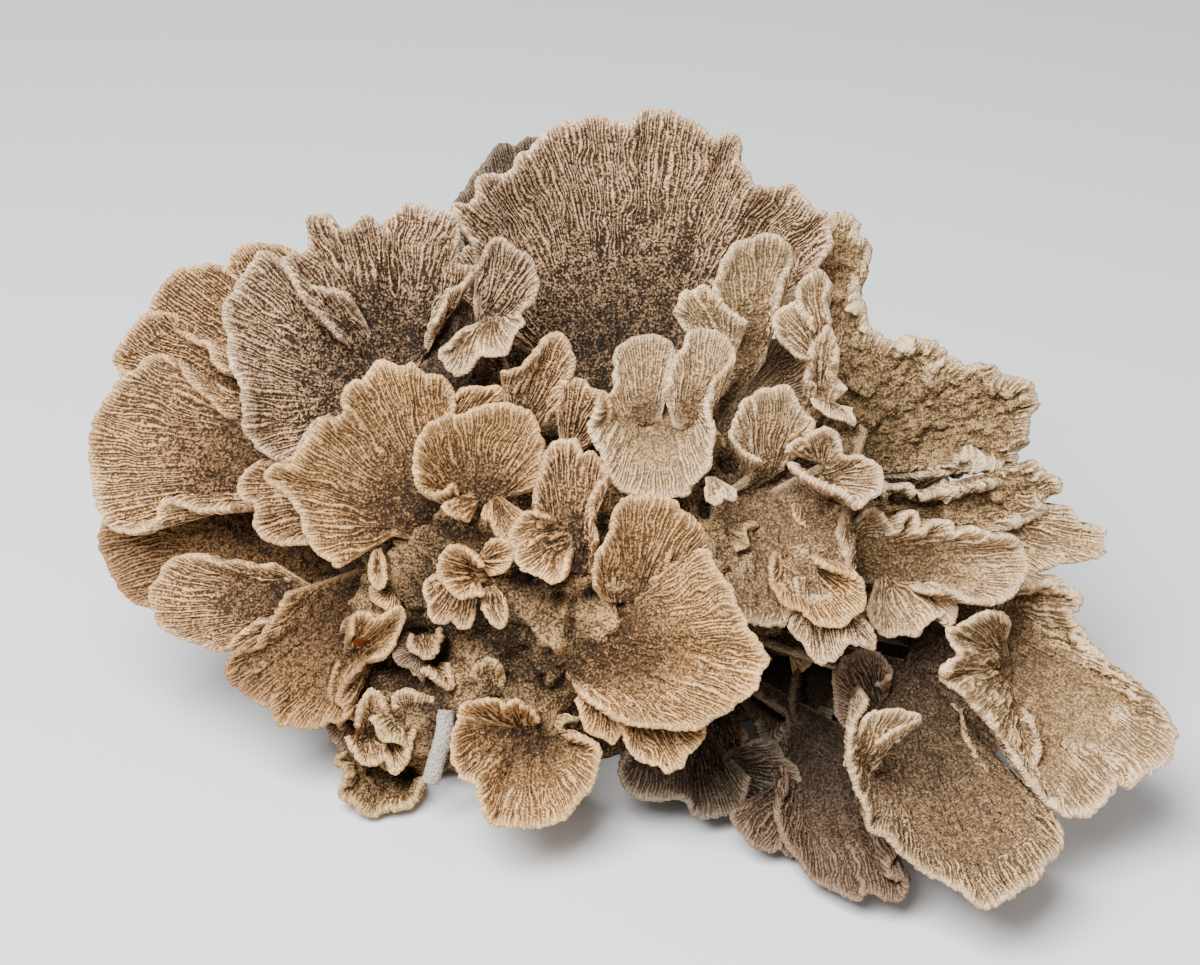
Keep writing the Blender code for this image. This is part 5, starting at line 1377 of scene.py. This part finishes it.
def coral_skin() -> bpy.types.NodeTree:
    """The shader group that colours and roughens coral, built once.

    Returns:
        The group, with the finish's colours in, and Color, Roughness and Height out.
    """
    ready = bpy.data.node_groups.get("coral_skin")
    if ready:
        return ready
    group = bpy.data.node_groups.new("coral_skin", "ShaderNodeTree")
    for label in ("Rim Color", "Body Color", "Root Color"):
        group.interface.new_socket(label, in_out="INPUT", socket_type="NodeSocketColor")
    for label in ("Groove Depth", "Blotch Amount", "Powder And Highlight Amount"):
        group.interface.new_socket(label, in_out="INPUT", socket_type="NodeSocketFloat")
    group.interface.new_socket("Color", in_out="OUTPUT", socket_type="NodeSocketColor")
    group.interface.new_socket("Roughness", in_out="OUTPUT", socket_type="NodeSocketFloat")
    group.interface.new_socket("Height", in_out="OUTPUT", socket_type="NodeSocketFloat")
    given = group.nodes.new("NodeGroupInput").outputs
    result = group.nodes.new("NodeGroupOutput").inputs
    spot = group.nodes.new("ShaderNodeTexCoord").outputs["Object"]
    relief = attribute_node(group, "relief")
    rim = attribute_node(group, "rim")
    inward = attribute_node(group, "inward")
    drift = noise_node(group, spot, *DRIFT_GRAIN)
    speck = noise_node(group, spot, *SPECK_GRAIN)
    knob = noise_node(group, spot, *KNOB_GRAIN)
    patch = noise_node(group, spot, *PATCH_GRAIN)
    pits = group.nodes.new("ShaderNodeTexVoronoi")
    group.links.new(spot, pits.inputs["Vector"])
    pits.inputs["Scale"].default_value = PIT_SCALE
    bare = attribute_node(group, "bare")
    grainy = skin_grain(group, {"relief": relief, "rim": rim, "bare": bare, "speck": speck, "knob": knob,
                                "pit": pits.outputs["Distance"]})

    # From body to root inwards, where the darker root colour is partly painted shade, and to the rim at the
    # edge
    wander = math_node(group, "MULTIPLY_ADD", drift, *WANDER)
    depth = math_node(group, "ADD", inward, wander)
    inner = ramp_between(group, depth, *ROOT_BLEND)
    colour = mix_node(group, inner, given["Body Color"], given["Root Color"])
    band = math_node(group, "ADD", rim, math_node(group, "MULTIPLY", wander, RIM_WANDER))
    edge = math_node(group, "MULTIPLY", ramp_between(group, band, *RIM_BLEND), RIM_SHARE)
    colour = mix_node(group, edge, colour, given["Rim Color"])

    # Pale powder and painted highlight on the high grains, dirt and painted shade in the grooves
    patchy = math_node(group, "MULTIPLY", ramp_between(group, patch, *PATCH_BLEND),
                       ramp_between(group, inward, *PATCH_INWARD_BLEND))
    sunk = math_node(group, "MULTIPLY", patchy, given["Blotch Amount"])
    sunk = math_node(group, "MULTIPLY", sunk, PATCH_SINK)
    sunk = math_node(group, "MULTIPLY_ADD", bare, BARE_SINK, sunk)
    toned = math_node(group, "SUBTRACT", grainy, sunk)
    evened = math_node(group, "MULTIPLY_ADD", given["Blotch Amount"], *BLOTCH_CONTRAST)
    evened = math_node(group, "MULTIPLY_ADD", bare, evened, CONTRAST)
    toned = math_node(group, "SUBTRACT", toned, MID_TONE)
    toned = math_node(group, "MULTIPLY_ADD", toned, evened, MID_TONE)
    high = ramp_between(group, toned, *POWDER_AND_HIGHLIGHT_BLEND)
    pale = mix_node(group, inner, given["Rim Color"], given["Body Color"])
    colour = mix_node(group, math_node(group, "MULTIPLY", high, given["Powder And Highlight Amount"]), colour, pale)
    low = math_node(group, "SUBTRACT", 1.0, ramp_between(group, toned, *GROOVE_BLEND))
    deep = math_node(group, "MULTIPLY_ADD", ramp_between(group, rim, *GROOVE_RIM_BLEND), *RIM_GROOVES)
    groove = math_node(group, "MULTIPLY", low, deep)
    groove = math_node(group, "MULTIPLY", groove, given["Groove Depth"])
    dirt_and_shade = mix_node(group, ramp_between(group, depth, *DIRT_AND_SHADE_BLEND), OUTER_DIRT_AND_SHADE, INNER_DIRT_AND_SHADE)
    colour = mix_node(group, groove, colour, dirt_and_shade)

    # Fine pores, darkened with dirt and painted shade
    pore = ramp_between(group, pits.outputs["Distance"], *PORE_BLEND)
    pore = math_node(group, "SUBTRACT", 1.0, pore)
    open_pores = ramp_between(group, inward, *PORE_INWARD_BLEND)
    open_pores = math_node(group, "MULTIPLY_ADD", open_pores, *INWARD_PORES)
    open_pores = math_node(group, "MULTIPLY", open_pores, ramp_between(group, knob, *PORE_KNOB_BLEND))
    pore = math_node(group, "MULTIPLY", pore, open_pores)
    closed = math_node(group, "MULTIPLY_ADD", ramp_between(group, rim, *PORE_RIM_BLEND), *RIM_PORES)
    pore = math_node(group, "MULTIPLY", pore, closed)
    pore = math_node(group, "MULTIPLY", pore, given["Groove Depth"])
    colour = mix_node(group, pore, colour, dirt_and_shade)
    grainy = math_node(group, "MULTIPLY_ADD", pore, PORE_DEPTH, grainy)

    # Rust, and a slow drift of the whole tone
    colour = mix_node(group, attribute_node(group, "rust"), colour, RUST_COLOUR)
    tone = math_node(group, "MULTIPLY_ADD", drift, *SLOW_TONE)
    shade = group.nodes.new("ShaderNodeCombineColor")
    for socket in shade.inputs[:3]:
        group.links.new(tone, socket)
    colour = mix_node(group, 1.0, colour, shade.outputs[0], "MULTIPLY")
    group.links.new(colour, result["Color"])
    group.links.new(math_node(group, "MULTIPLY_ADD", speck, *SPECK_ROUGHNESS), result["Roughness"])
    group.links.new(grainy, result["Height"])
    return group


def skin_grain(group: bpy.types.NodeTree,
               marks: dict[str, bpy.types.NodeSocket]) -> bpy.types.NodeSocket:
    """The height of ridges, knobs and grains over the skin.

    Args:
        group: the tree that gets the nodes.
        marks: the sockets of relief, rim, bare, speck, knob and pit.

    Returns:
        The height, about 0 in a groove to 1 on a crest.
    """
    bare = marks["bare"]
    lines = ridge_lines(group, marks["speck"])
    at_edge = ramp_between(group, marks["rim"], *RIM_RIDGE_BLEND)
    for mark, change in ((bare, BARE_RIDGES), (at_edge, RIM_RIDGES), (marks["knob"], KNOBBLY_RIDGES)):
        lines = math_node(group, "MULTIPLY", lines, math_node(group, "MULTIPLY_ADD", mark, *change))
    grit = math_node(group, "SUBTRACT", marks["speck"], 0.5)
    pitted = math_node(group, "SUBTRACT", PIT_MIDDLE, marks["pit"])
    grit = math_node(group, "MULTIPLY_ADD", pitted, PIT_GRIT, grit)
    grit = math_node(group, "MULTIPLY", grit, math_node(group, "MULTIPLY_ADD", bare, *BARE_GRIT))
    grainy = math_node(group, "MULTIPLY_ADD", lines, RIDGE_HEIGHT, grit)
    grainy = math_node(group, "ADD", grainy, GRAIN_MIDDLE)
    return math_node(group, "MULTIPLY_ADD", marks["relief"], RELIEF_HEIGHT, grainy)


def ridge_lines(group: bpy.types.NodeTree, rough: bpy.types.NodeSocket) -> bpy.types.NodeSocket:
    """The fine ridges of a sheet, from its attributes.

    Args:
        group: the tree that gets the nodes.
        rough: noise that makes the ridges' sides uneven.

    Returns:
        The ridges, from -0.5 in a groove to 0.5 on a crest.
    """
    across = attribute_node(group, "across")
    joined = attribute_node(group, "joined")
    whole = math_node(group, "FLOOR", joined)
    blend = ramp_between(group, math_node(group, "SUBTRACT", joined, whole), *FORK_BLEND)
    step = math_node(group, "MULTIPLY", math_node(group, "POWER", 2.0, whole), RIDGE_SPACING / math.tau)
    phase = math_node(group, "DIVIDE", across, step)
    phase = math_node(group, "ADD", phase, math_node(group, "MULTIPLY_ADD", rough, *UNEVEN_RIDGES))
    fine = math_node(group, "COSINE", phase)
    coarse = math_node(group, "COSINE", math_node(group, "MULTIPLY", phase, 0.5))
    both = math_node(group, "MULTIPLY", fine, math_node(group, "SUBTRACT", 1.0, blend))
    both = math_node(group, "MULTIPLY_ADD", coarse, blend, both)
    return math_node(group, "MULTIPLY", both, 0.5)


def add_piece(name: str, mesh: bpy.types.Mesh, node: str) -> bpy.types.Object:
    """Link a finished piece that stands for one node of the frame.

    Args:
        name: the piece's name.
        mesh: its mesh, already in place.
        node: the node it stands for.

    Returns:
        The piece.
    """
    piece = bpy.data.objects.new(name, mesh)
    bpy.context.scene.collection.objects.link(piece)
    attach(piece, "root")
    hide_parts(node)
    LOG.info("%s: %d faces", name, len(mesh.polygons))
    return piece


@dataclass
class Fronds:
    """The main fronds, each with the lobes that grow on it."""

    first_seed: float = 10.0
    seed_step: float = 13.7

    def fan_sheets(self, fans: tuple[Fan, ...], seed: float) -> list[Sheet]:
        """The sheets of one frond.

        Args:
            fans: the main fan, then its lobes.
            seed: sets the ridges and ruffles.

        Returns:
            One sheet for each fan.
        """
        main_grid = fans[0].plane_grid(seed, None)
        sheets = [fans[0].sheet(main_grid, seed, True)]
        for number, lobe in enumerate(fans[1:], start=1):
            depth = fans[0].depth_at(main_grid, lobe.root[0], lobe.root[1])
            grid = lobe.plane_grid(seed + number, depth)
            sheet = lobe.sheet(grid, seed + number, False)
            sheet.thickness = LOBE_THICKNESS
            sheets.append(sheet)
        return sheets

    def build(self) -> None:
        """Build and dress every main frond."""
        for number, (node, fans) in enumerate(FANS.items()):
            sheets = self.fan_sheets(fans, self.first_seed + number * self.seed_step)
            add_piece(f"ridged_{node}", sheets_mesh(node, sheets), node)


@dataclass
class Shelves:
    """The fronds of the back."""

    first_seed: float = 700.0
    seed_step: float = 9.1

    def build(self) -> None:
        """Build and dress every back frond."""
        for number, (node, shelf) in enumerate(SHELVES.items()):
            sheet = shelf.sheet(self.first_seed + number * self.seed_step)
            add_piece(f"ridged_{node}", sheets_mesh(node, [sheet]), node)


@dataclass
class Base:
    """The lumpy base, and the small fans and sprouts that grow out of it.

    Lumps, knobs, creases and grains each have a height and a size in
    millimetres, and the whole skin is set in by sink to stay inside the solid.
    """

    segments: int = 420
    rings: int = 190
    lump: float = 6.5
    lump_size: float = 17.0
    knob: float = 4.5
    knob_size: float = 7.0
    crease: float = 3.5
    crease_size: float = 21.0
    grain: float = 0.55
    grain_size: float = 2.3
    sink: float = 1.5
    fan_seed: float = 400.0
    sprout_seed: float = 500.0
    draw_seed: int = 7
    sprout_count: int = 84
    front_slope: tuple[float, float, float, float] = (-62.0, 30.0, -20.0, 36.0)
    foot_height: float = 12.0

    def sprouts(self) -> list[Sprout]:
        """Small fans scattered over the base, the same on each run."""
        draw = np.random.default_rng(self.draw_seed)
        tones = (Tone.MAUVE, Tone.TAN, Tone.BASE, Tone.BROWN, Tone.BASE)
        sprouts = []
        while len(sprouts) < self.sprout_count:
            turn = draw.uniform(0.0, math.tau)
            tilt = draw.uniform(-0.45, 0.75)
            direction = (math.cos(turn), math.sin(turn) * 0.9, tilt)
            reach = draw.uniform(7.0, 14.0)
            spread = draw.uniform(120.0, 190.0)
            roll = draw.uniform(-50.0, 50.0)
            tone = tones[int(draw.integers(len(tones)))]
            if self.clear_front(direction):
                sprouts.append(Sprout(direction, reach, spread, roll, tone))
        return sprouts

    def clear_front(self, direction: tuple[float, float, float]) -> bool:
        """Whether a sprout there stays off the smooth slope at the middle of the front."""
        unit = Vector(direction).normalized()
        foot = Vector(CORE_CENTRE) + unit * core_radius(unit)
        left, right, depth, height = self.front_slope
        on_slope = left < foot.x < right and foot.y < depth and foot.z > height
        return foot.z > self.foot_height and not on_slope

    def hollows(self, places: np.ndarray) -> tuple[np.ndarray, np.ndarray]:
        """How far the front is dug in, and how much shade is painted there (below zero, a highlight).

        Args:
            places: places on the base in millimetres, one per row.

        Returns:
            Millimetres of depth and shares of painted shade (below zero, of painted highlight), one of each
            per place.
        """
        offset = places - np.array(SIGHT_CENTRE)
        lean, stand = math.sin(EYE_ELEVATION), math.cos(EYE_ELEVATION)
        nearer = 1.0 - (offset[:, 2] * lean - offset[:, 1] * stand) / EYE_DISTANCE
        across = offset[:, 0] / nearer
        up = (offset[:, 1] * lean + offset[:, 2] * stand) / nearer
        dug = np.zeros(len(places))
        painted_shade_and_highlight = np.zeros(len(places))
        for middle_across, middle_up, radius, depth, dark in BASE_HOLLOWS:
            gap = np.hypot(across - middle_across, up - middle_up) / radius
            share = np.exp(-gap**2) * (places[:, 1] < 0.0)
            dug = dug + depth * share
            painted_shade_and_highlight = painted_shade_and_highlight + dark * share
        return dug, painted_shade_and_highlight

    def core_mesh(self) -> bpy.types.Mesh:
        """The dome of the base with its lumps, knobs and grains, cut flat at the foot."""
        bm = bmesh.new()
        bmesh.ops.create_uvsphere(bm, u_segments=self.segments, v_segments=self.rings, radius=1.0)
        centre = Vector(CORE_CENTRE)
        directions = [vert.co.normalized() for vert in bm.verts]
        radii = np.array([core_radius(direction) for direction in directions])
        unit = np.array(directions)
        spots = unit * radii[:, None]
        lumps = rough_noise(spots, self.lump_size, 2)
        knobs = np.abs(rough_noise(spots + 90.0, self.knob_size, 2))
        grains = rough_noise(spots + 30.0, self.grain_size, 2)
        moved = radii - self.sink + self.lump * (lumps - 0.3) + self.knob * (0.5 - knobs)
        moved = moved + self.grain * grains
        relief = np.clip(0.62 + 0.30 * grains + 0.7 * (0.25 - knobs), 0.0, 1.0)
        creases = smoothstep(0.30, 0.0, np.abs(rough_noise(spots + 60.0, self.crease_size, 2)))
        moved = moved - self.crease * creases
        # Painted shade: the skin is darker in the creases and between the lumps
        inward = np.clip(0.40 - 0.40 * lumps + 0.5 * creases, 0.0, 1.0)
        dug, painted_shade_and_highlight = self.hollows(np.array(centre) + unit * moved[:, None])
        moved = moved - dug
        # Painted shade makes the hollows darker, and a painted highlight makes the swells pale
        inward = np.clip(inward + np.maximum(painted_shade_and_highlight, 0.0), 0.0, 1.0)
        relief = np.clip(relief - 0.35 * painted_shade_and_highlight, 0.0, 1.0)
        painted_highlight = np.clip(-painted_shade_and_highlight, 0.0, 1.0)
        for vert, direction, radius in zip(bm.verts, directions, moved):
            vert.co = (centre + direction * radius) * MM
        marks = {"relief": relief, "rim": painted_highlight, "inward": inward, "bare": np.ones(len(moved))}
        for label, values in marks.items():
            layer = bm.verts.layers.float.new(label)
            for vert, value in zip(bm.verts, values):
                vert[layer] = value
        bmesh.ops.bisect_plane(bm, geom=bm.verts[:] + bm.edges[:] + bm.faces[:], plane_co=(0.0, 0.0, 0.0),
                               plane_no=(0.0, 0.0, 1.0), clear_inner=True)
        bmesh.ops.holes_fill(bm, edges=[edge for edge in bm.edges if edge.is_boundary])
        bmesh.ops.recalc_face_normals(bm, faces=bm.faces)
        for face in bm.faces:
            face.smooth = len(face.verts) < 5
        mesh = bpy.data.meshes.new("base_core")
        bm.to_mesh(mesh)
        bm.free()
        mesh.materials.append(Tone.BASE.material())
        return mesh

    def build(self) -> None:
        """Build and dress the base, and the small fans on it."""
        sheets = []
        for number, fan in enumerate(FOOT_FANS):
            seed = self.fan_seed + 5.0 * number
            sheets.append(fan.sheet(fan.plane_grid(seed, None), seed, True))
        for number, sprout in enumerate(self.sprouts()):
            sheets.append(sprout.sheet(self.sprout_seed + 3.0 * number))
        add_piece("lumpy_base", self.core_mesh(), "base")
        add_piece("base_sprouts", sheets_mesh("base_fans", sheets), "base")


@dataclass
class WormTube:
    """The chalky tube that stands against the foot.

    path is (across, up, forward) places on the sighting plane, and wall the
    tube's thickness as a share of its radius.
    """

    path: tuple[tuple[float, float, float], ...] = (
        (-61.5, -91.0, 4.0), (-62.0, -98.0, 4.5), (-64.5, -108.0, 4.5), (-68.0, -120.0, 4.0))
    radius: float = 3.5
    around: int = 28
    step: float = 0.8
    wall: float = 0.38
    hollow: float = 2.0
    lump: float = 0.45
    lump_size: float = 3.2
    grain: float = 0.22
    grain_size: float = 1.3

    def build(self) -> None:
        """Build the tube as a rough stick with a sunken open end at the top."""
        spots = np.array([place(*(np.array(value) for value in spot)) for spot in self.path])
        curve = curve_through(spots)
        length = evenly(curve, 2)[1]
        rings, _ = evenly(curve, max(8, round(length / self.step)))
        bm = bmesh.new()
        centres = [Vector(ring) for ring in rings]
        after = centres[1:] + centres[-1:]
        before = centres[:1] + centres[:-1]
        heads = [(ahead - behind).normalized() for ahead, behind in zip(after, before)]
        ring = bmesh.ops.create_circle(bm, segments=self.around, radius=self.radius)["verts"]
        bmesh.ops.transform(bm, matrix=self.frame_at(centres[0], heads[0]), verts=ring)
        previous = self.frame_at(centres[0], heads[0])
        edges = bm.edges[:]
        for centre, head in zip(centres[1:], heads[1:]):
            here = self.frame_at(centre, head)
            made = bmesh.ops.extrude_edge_only(bm, edges=edges)["geom"]
            verts = [item for item in made if isinstance(item, bmesh.types.BMVert)]
            edges = [item for item in made if isinstance(item, bmesh.types.BMEdge) and
                     all(vert in verts for vert in item.verts)]
            bmesh.ops.transform(bm, matrix=here @ previous.inverted(), verts=verts)
            previous = here
        bmesh.ops.holes_fill(bm, edges=[edge for edge in bm.edges if edge.is_boundary])
        caps = [face for face in bm.faces if len(face.verts) > 4]
        top = min(caps, key=lambda face: (face.calc_center_median() - centres[0]).length)
        bmesh.ops.inset_region(bm, faces=[top], thickness=self.radius * self.wall)
        sunk = bmesh.ops.extrude_discrete_faces(bm, faces=[top])["faces"]
        bmesh.ops.translate(bm, verts=sunk[0].verts[:], vec=heads[0] * self.hollow)
        bmesh.ops.remove_doubles(bm, verts=bm.verts, dist=0.01)
        bmesh.ops.recalc_face_normals(bm, faces=bm.faces)
        self.roughen(bm)
        for face in bm.faces:
            face.smooth = True
        mesh = bpy.data.meshes.new("worm_tube")
        bm.to_mesh(mesh)
        bm.free()
        mesh.materials.append(Tone.CHALK.material())
        add_piece("chalky_worm_tube", mesh, "worm_tube")

    def frame_at(self, centre: Vector, head: Vector) -> Matrix:
        """The matrix that stands a ring at a centre, square to a direction."""
        return Matrix.Translation(centre) @ head.to_track_quat("Z", "Y").to_matrix().to_4x4()

    def roughen(self, bm: bmesh.types.BMesh) -> None:
        """Push the tube's points in and out, and turn millimetres into metres."""
        relief_layer = bm.verts.layers.float.new("relief")
        bm.verts.layers.float.new("rim")
        bm.verts.layers.float.new("inward")
        bare_layer = bm.verts.layers.float.new("bare")
        bm.normal_update()
        moves = []
        for vert in bm.verts:
            lump = self.lump * noise.noise(vert.co / self.lump_size)
            lump += self.grain * noise.noise(vert.co / self.grain_size)
            vert[relief_layer] = min(1.0, max(0.0, 0.55 + lump))
            vert[bare_layer] = 1.0
            moves.append(vert.normal * lump)
        for vert, move in zip(bm.verts, moves):
            vert.co = (vert.co + move) * MM


@dataclass
class Studio:
    """A pale floor, soft lights and the camera, in metres."""

    look_at: tuple[float, float, float] = (0.004, -0.024, 0.120)
    distance: float = 1.0
    lens: float = 75.0
    sensor: float = 36.0
    floor_size: float = 8.0
    floor_drop: float = 0.0002
    floor_colour: tuple[float, float, float, float] = (0.78, 0.79, 0.80, 1.0)
    floor_roughness: float = 0.9
    key_place: tuple[float, float, float] = (-0.5, -0.7, 1.6)
    key_size: float = 1.2
    key_energy: float = 92.0
    fill_place: tuple[float, float, float] = (1.2, -1.2, 0.9)
    fill_size: float = 1.6
    fill_energy: float = 8.0
    sky_colour: tuple[float, float, float, float] = (0.95, 0.97, 1.0, 1.0)
    sky: float = 0.34

    def area_light(self, name: str, place_at: tuple[float, float, float], size: float,
                   energy: float) -> None:
        """One square light that looks at the colony.

        Args:
            name: the light's name.
            place_at: where it hangs, in metres.
            size: the length of its side in metres.
            energy: its power in watts.
        """
        light = bpy.data.lights.new(name, "AREA")
        light.size = size
        light.energy = energy
        lamp = bpy.data.objects.new(name, light)
        bpy.context.scene.collection.objects.link(lamp)
        aim = Vector(self.look_at) - Vector(place_at)
        lamp.location = place_at
        lamp.rotation_euler = aim.to_track_quat("-Z", "Y").to_euler()

    def floor(self) -> None:
        """A wide pale floor under the foot."""
        bm = bmesh.new()
        bmesh.ops.create_grid(bm, x_segments=1, y_segments=1, size=self.floor_size / 2.0,
                              matrix=Matrix.Translation((0.0, 0.0, -self.floor_drop)))
        mesh = bpy.data.meshes.new("floor")
        bm.to_mesh(mesh)
        bm.free()
        material = bpy.data.materials.new("pale_floor")
        material.use_nodes = True
        shader = material.node_tree.nodes["Principled BSDF"]
        shader.inputs["Base Color"].default_value = self.floor_colour
        shader.inputs["Roughness"].default_value = self.floor_roughness
        mesh.materials.append(material)
        floor = bpy.data.objects.new("floor", mesh)
        bpy.context.scene.collection.objects.link(floor)

    def camera(self) -> None:
        """The camera at the photograph's angle."""
        lens = bpy.data.cameras.new("camera")
        lens.lens = self.lens
        lens.sensor_width = self.sensor
        eye = bpy.data.objects.new("camera", lens)
        bpy.context.scene.collection.objects.link(eye)
        back = Vector((0.0, -math.cos(EYE_ELEVATION), math.sin(EYE_ELEVATION)))
        eye.location = Vector(self.look_at) + back * self.distance
        eye.rotation_euler = (-back).to_track_quat("-Z", "Y").to_euler()
        bpy.context.scene.camera = eye

    def build(self) -> None:
        """Set the floor, the lights, the sky and the camera."""
        self.floor()
        self.area_light("key_light", self.key_place, self.key_size, self.key_energy)
        self.area_light("fill_light", self.fill_place, self.fill_size, self.fill_energy)
        world = bpy.data.worlds.new("sky")
        world.use_nodes = True
        background = world.node_tree.nodes["Background"]
        background.inputs["Color"].default_value = self.sky_colour
        background.inputs["Strength"].default_value = self.sky
        bpy.context.scene.world = world
        self.camera()
        LOG.info("studio set")


def main() -> None:
    """Build the colony piece by piece, then the studio."""
    logging.basicConfig(level=logging.INFO, format="%(name)s: %(message)s")
    Base().build()
    Fronds().build()
    Shelves().build()
    WormTube().build()
    Studio().build()


if __name__ == "__main__":
    main()
